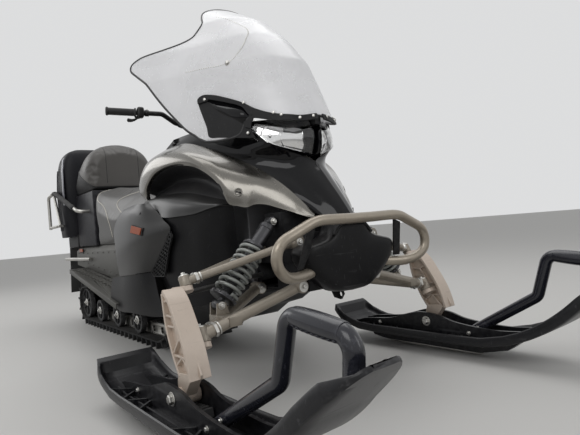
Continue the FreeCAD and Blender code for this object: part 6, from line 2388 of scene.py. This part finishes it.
@dataclass(frozen=True)
class CarriedOver:
    """Solids whose form is right, which get rounded edges and a finish."""

    ROWS = (
        # node, finish, edge rounding in millimetres
        ("track", TRACK_RUBBER, 0.0), ("track_wheels", WHEEL_BLACK, 1.2),
        ("drive_axle", WHEEL_BLACK, 1.0), ("skid_frame", BARE_ALLOY, 1.2),
        ("tunnel", SHADE_DARKENED_ALLOY, 0.8), ("running_boards", SHADE_DARKENED_ALLOY, 0.8),
        ("front_frame", FRAME_BLACK, 1.5), ("engine_block", CAST_GREY, 5.0),
        ("upper_arms", ARM_CHAMPAGNE, 1.0), ("lower_arms", ARM_CHAMPAGNE, 1.0),
        ("shock_absorbers", SHOCK_DARK, 1.0), ("shock_springs", SPRING_GREY, 0.0),
        ("tie_rod_right", ROD_BLACK, 1.0), ("tie_rod_left", ROD_BLACK, 1.0),
        ("ski_runner_right", RUNNER_STEEL, 1.0), ("ski_runner_left", RUNNER_STEEL, 1.0),
        ("ski_loop_right", LOOP_PLASTIC, 0.0), ("ski_loop_left", LOOP_PLASTIC, 0.0),
        ("belly_pan", COVER_BLACK, 1.5),
        ("dash_console", COVER_BLACK, 4.0),
        ("handlebar", BAR_BLACK, 0.0), ("seat_base", TRUNK_BLACK, 8.0),
        ("tail_cover", COVER_BLACK, 5.0), ("snow_flap", FLAP_RUBBER, 1.0),
        ("grab_rails", BARE_ALLOY, 0.0), ("rear_bumper", BARE_ALLOY, 0.0),
    )

    def build(self) -> None:
        """Finishes each solid that still shows, and keeps sharp what isn't rounded."""
        for name, finish, wide in self.ROWS:
            node = bpy.data.objects[name]
            node.data.materials.clear()
            node.data.materials.append(finish.build())
            for polygon in node.data.polygons:
                polygon.use_smooth = True
            weld = node.modifiers.new("joined_points", "WELD")
            weld.merge_threshold = 0.02 * MM
            if wide:
                rounded(node, wide, 2, 32)
            else:
                sharp = node.modifiers.new("sharp_edges", "EDGE_SPLIT")
                sharp.split_angle = math.radians(35)
            LOG.info("%s keeps its shape", name)


# Studio


@dataclass(frozen=True)
class Studio:
    """Plain floor, soft lamps and the camera."""

    place: Point = (2.1466, -1.0919, 0.5282)
    azimuth: float = 51.75
    elevation: float = 1.18
    roll: float = -4.99
    lens: float = 29.97
    reach: float = 40.0
    paint: Colour = (0.62, 0.61, 0.59)
    sky: Colour = (0.40, 0.405, 0.41)
    backdrop: Colour = (0.72, 0.725, 0.73)

    LAMPS = (
        # name, place, target, size across and down, power
        ("key_softbox", (2.6, -3.4, 3.6), (0.3, 0.0, 0.6), (3.0, 2.2), 52.0),
        ("overhead_softbox", (-0.4, 0.4, 4.2), (0.2, 0.0, 0.5), (4.5, 2.6), 62.0),
        ("front_strip", (4.6, 1.8, 2.4), (0.8, 0.0, 0.6), (0.8, 2.6), 16.0),
        ("rear_softbox", (-4.4, -2.2, 2.6), (-0.6, 0.0, 0.6), (2.4, 1.8), 26.0),
    )

    def floor(self) -> None:
        """A plain pale floor."""
        mesh = bpy.data.meshes.new("floor")
        corners = [(-self.reach, -self.reach, 0), (self.reach, -self.reach, 0),
                   (self.reach, self.reach, 0), (-self.reach, self.reach, 0)]
        mesh.from_pydata(corners, [], [(0, 1, 2, 3)])
        paint = bpy.data.materials.new("floor_paint")
        paint.use_nodes = True
        Tree(paint.node_tree).feed(paint.node_tree.nodes["Principled BSDF"],
                                   {"Base Color": (*self.paint, 1.0), "Roughness": 0.7})
        mesh.materials.append(paint)
        linked("floor", mesh)

    def lamps(self) -> None:
        """Soft lamps and a pale sky."""
        for name, place, target, (wide, tall), power in self.LAMPS:
            lamp = bpy.data.lights.new(name, "AREA")
            lamp.shape = "RECTANGLE"
            lamp.size = wide
            lamp.size_y = tall
            lamp.energy = power
            holder = linked(name, lamp)
            holder.location = place
            way = Vector(target) - Vector(place)
            holder.rotation_mode = "QUATERNION"
            holder.rotation_quaternion = way.to_track_quat("-Z", "Y")
        world = bpy.data.worlds.new("studio")
        bpy.context.scene.world = world
        world.use_nodes = True
        tree = Tree(world.node_tree)
        rays = tree.add("LightPath").outputs
        seen = tree.sum("MAXIMUM", rays["Is Camera Ray"], rays["Is Glossy Ray"])
        seen = tree.sum("MAXIMUM", seen, rays["Is Transmission Ray"])
        tree.feed(world.node_tree.nodes["Background"],
                  {"Color": tree.mix(seen, (*self.sky, 1.0), self.backdrop), "Strength": 1.0})

    def camera(self) -> None:
        """The camera at the photograph's viewing angle."""
        turn, rise, lean = (math.radians(v) for v in (self.azimuth, self.elevation, self.roll))
        ahead = Vector((-math.sin(turn) * math.cos(rise), math.cos(turn) * math.cos(rise),
                        math.sin(rise)))
        across = Vector((math.cos(turn), math.sin(turn), 0))
        upright = across.cross(ahead)
        right = across * math.cos(lean) + upright * math.sin(lean)
        above = upright * math.cos(lean) - across * math.sin(lean)
        data = bpy.data.cameras.new("camera")
        data.lens = self.lens
        data.sensor_width = 36.0
        data.clip_start = 0.05
        camera = linked("camera", data)
        matrix = Matrix((right, above, -ahead)).transposed().to_4x4()
        matrix.translation = self.place
        camera.matrix_world = matrix
        bpy.context.scene.camera = camera

    def build(self) -> None:
        """Sets the stage."""
        self.floor()
        self.lamps()
        self.camera()
        bpy.context.scene.view_settings.view_transform = "Standard"


def main() -> None:
    """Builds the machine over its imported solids."""
    logging.basicConfig(level=logging.INFO, format="%(message)s")
    for leftover in list(bpy.data.objects):
        bpy.data.objects.remove(leftover)
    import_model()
    Studio().build()
    CarriedOver().build()
    for assembly in (Bodywork(), NoseGuard(), Windscreen(), Headlamps(), Cockpit(), Suspension(),
                     Spindle(), Ski(), SkiFittings(), Chassis(), Seats(), Tail()):
        assembly.build()


if __name__ == "__main__":
    main()
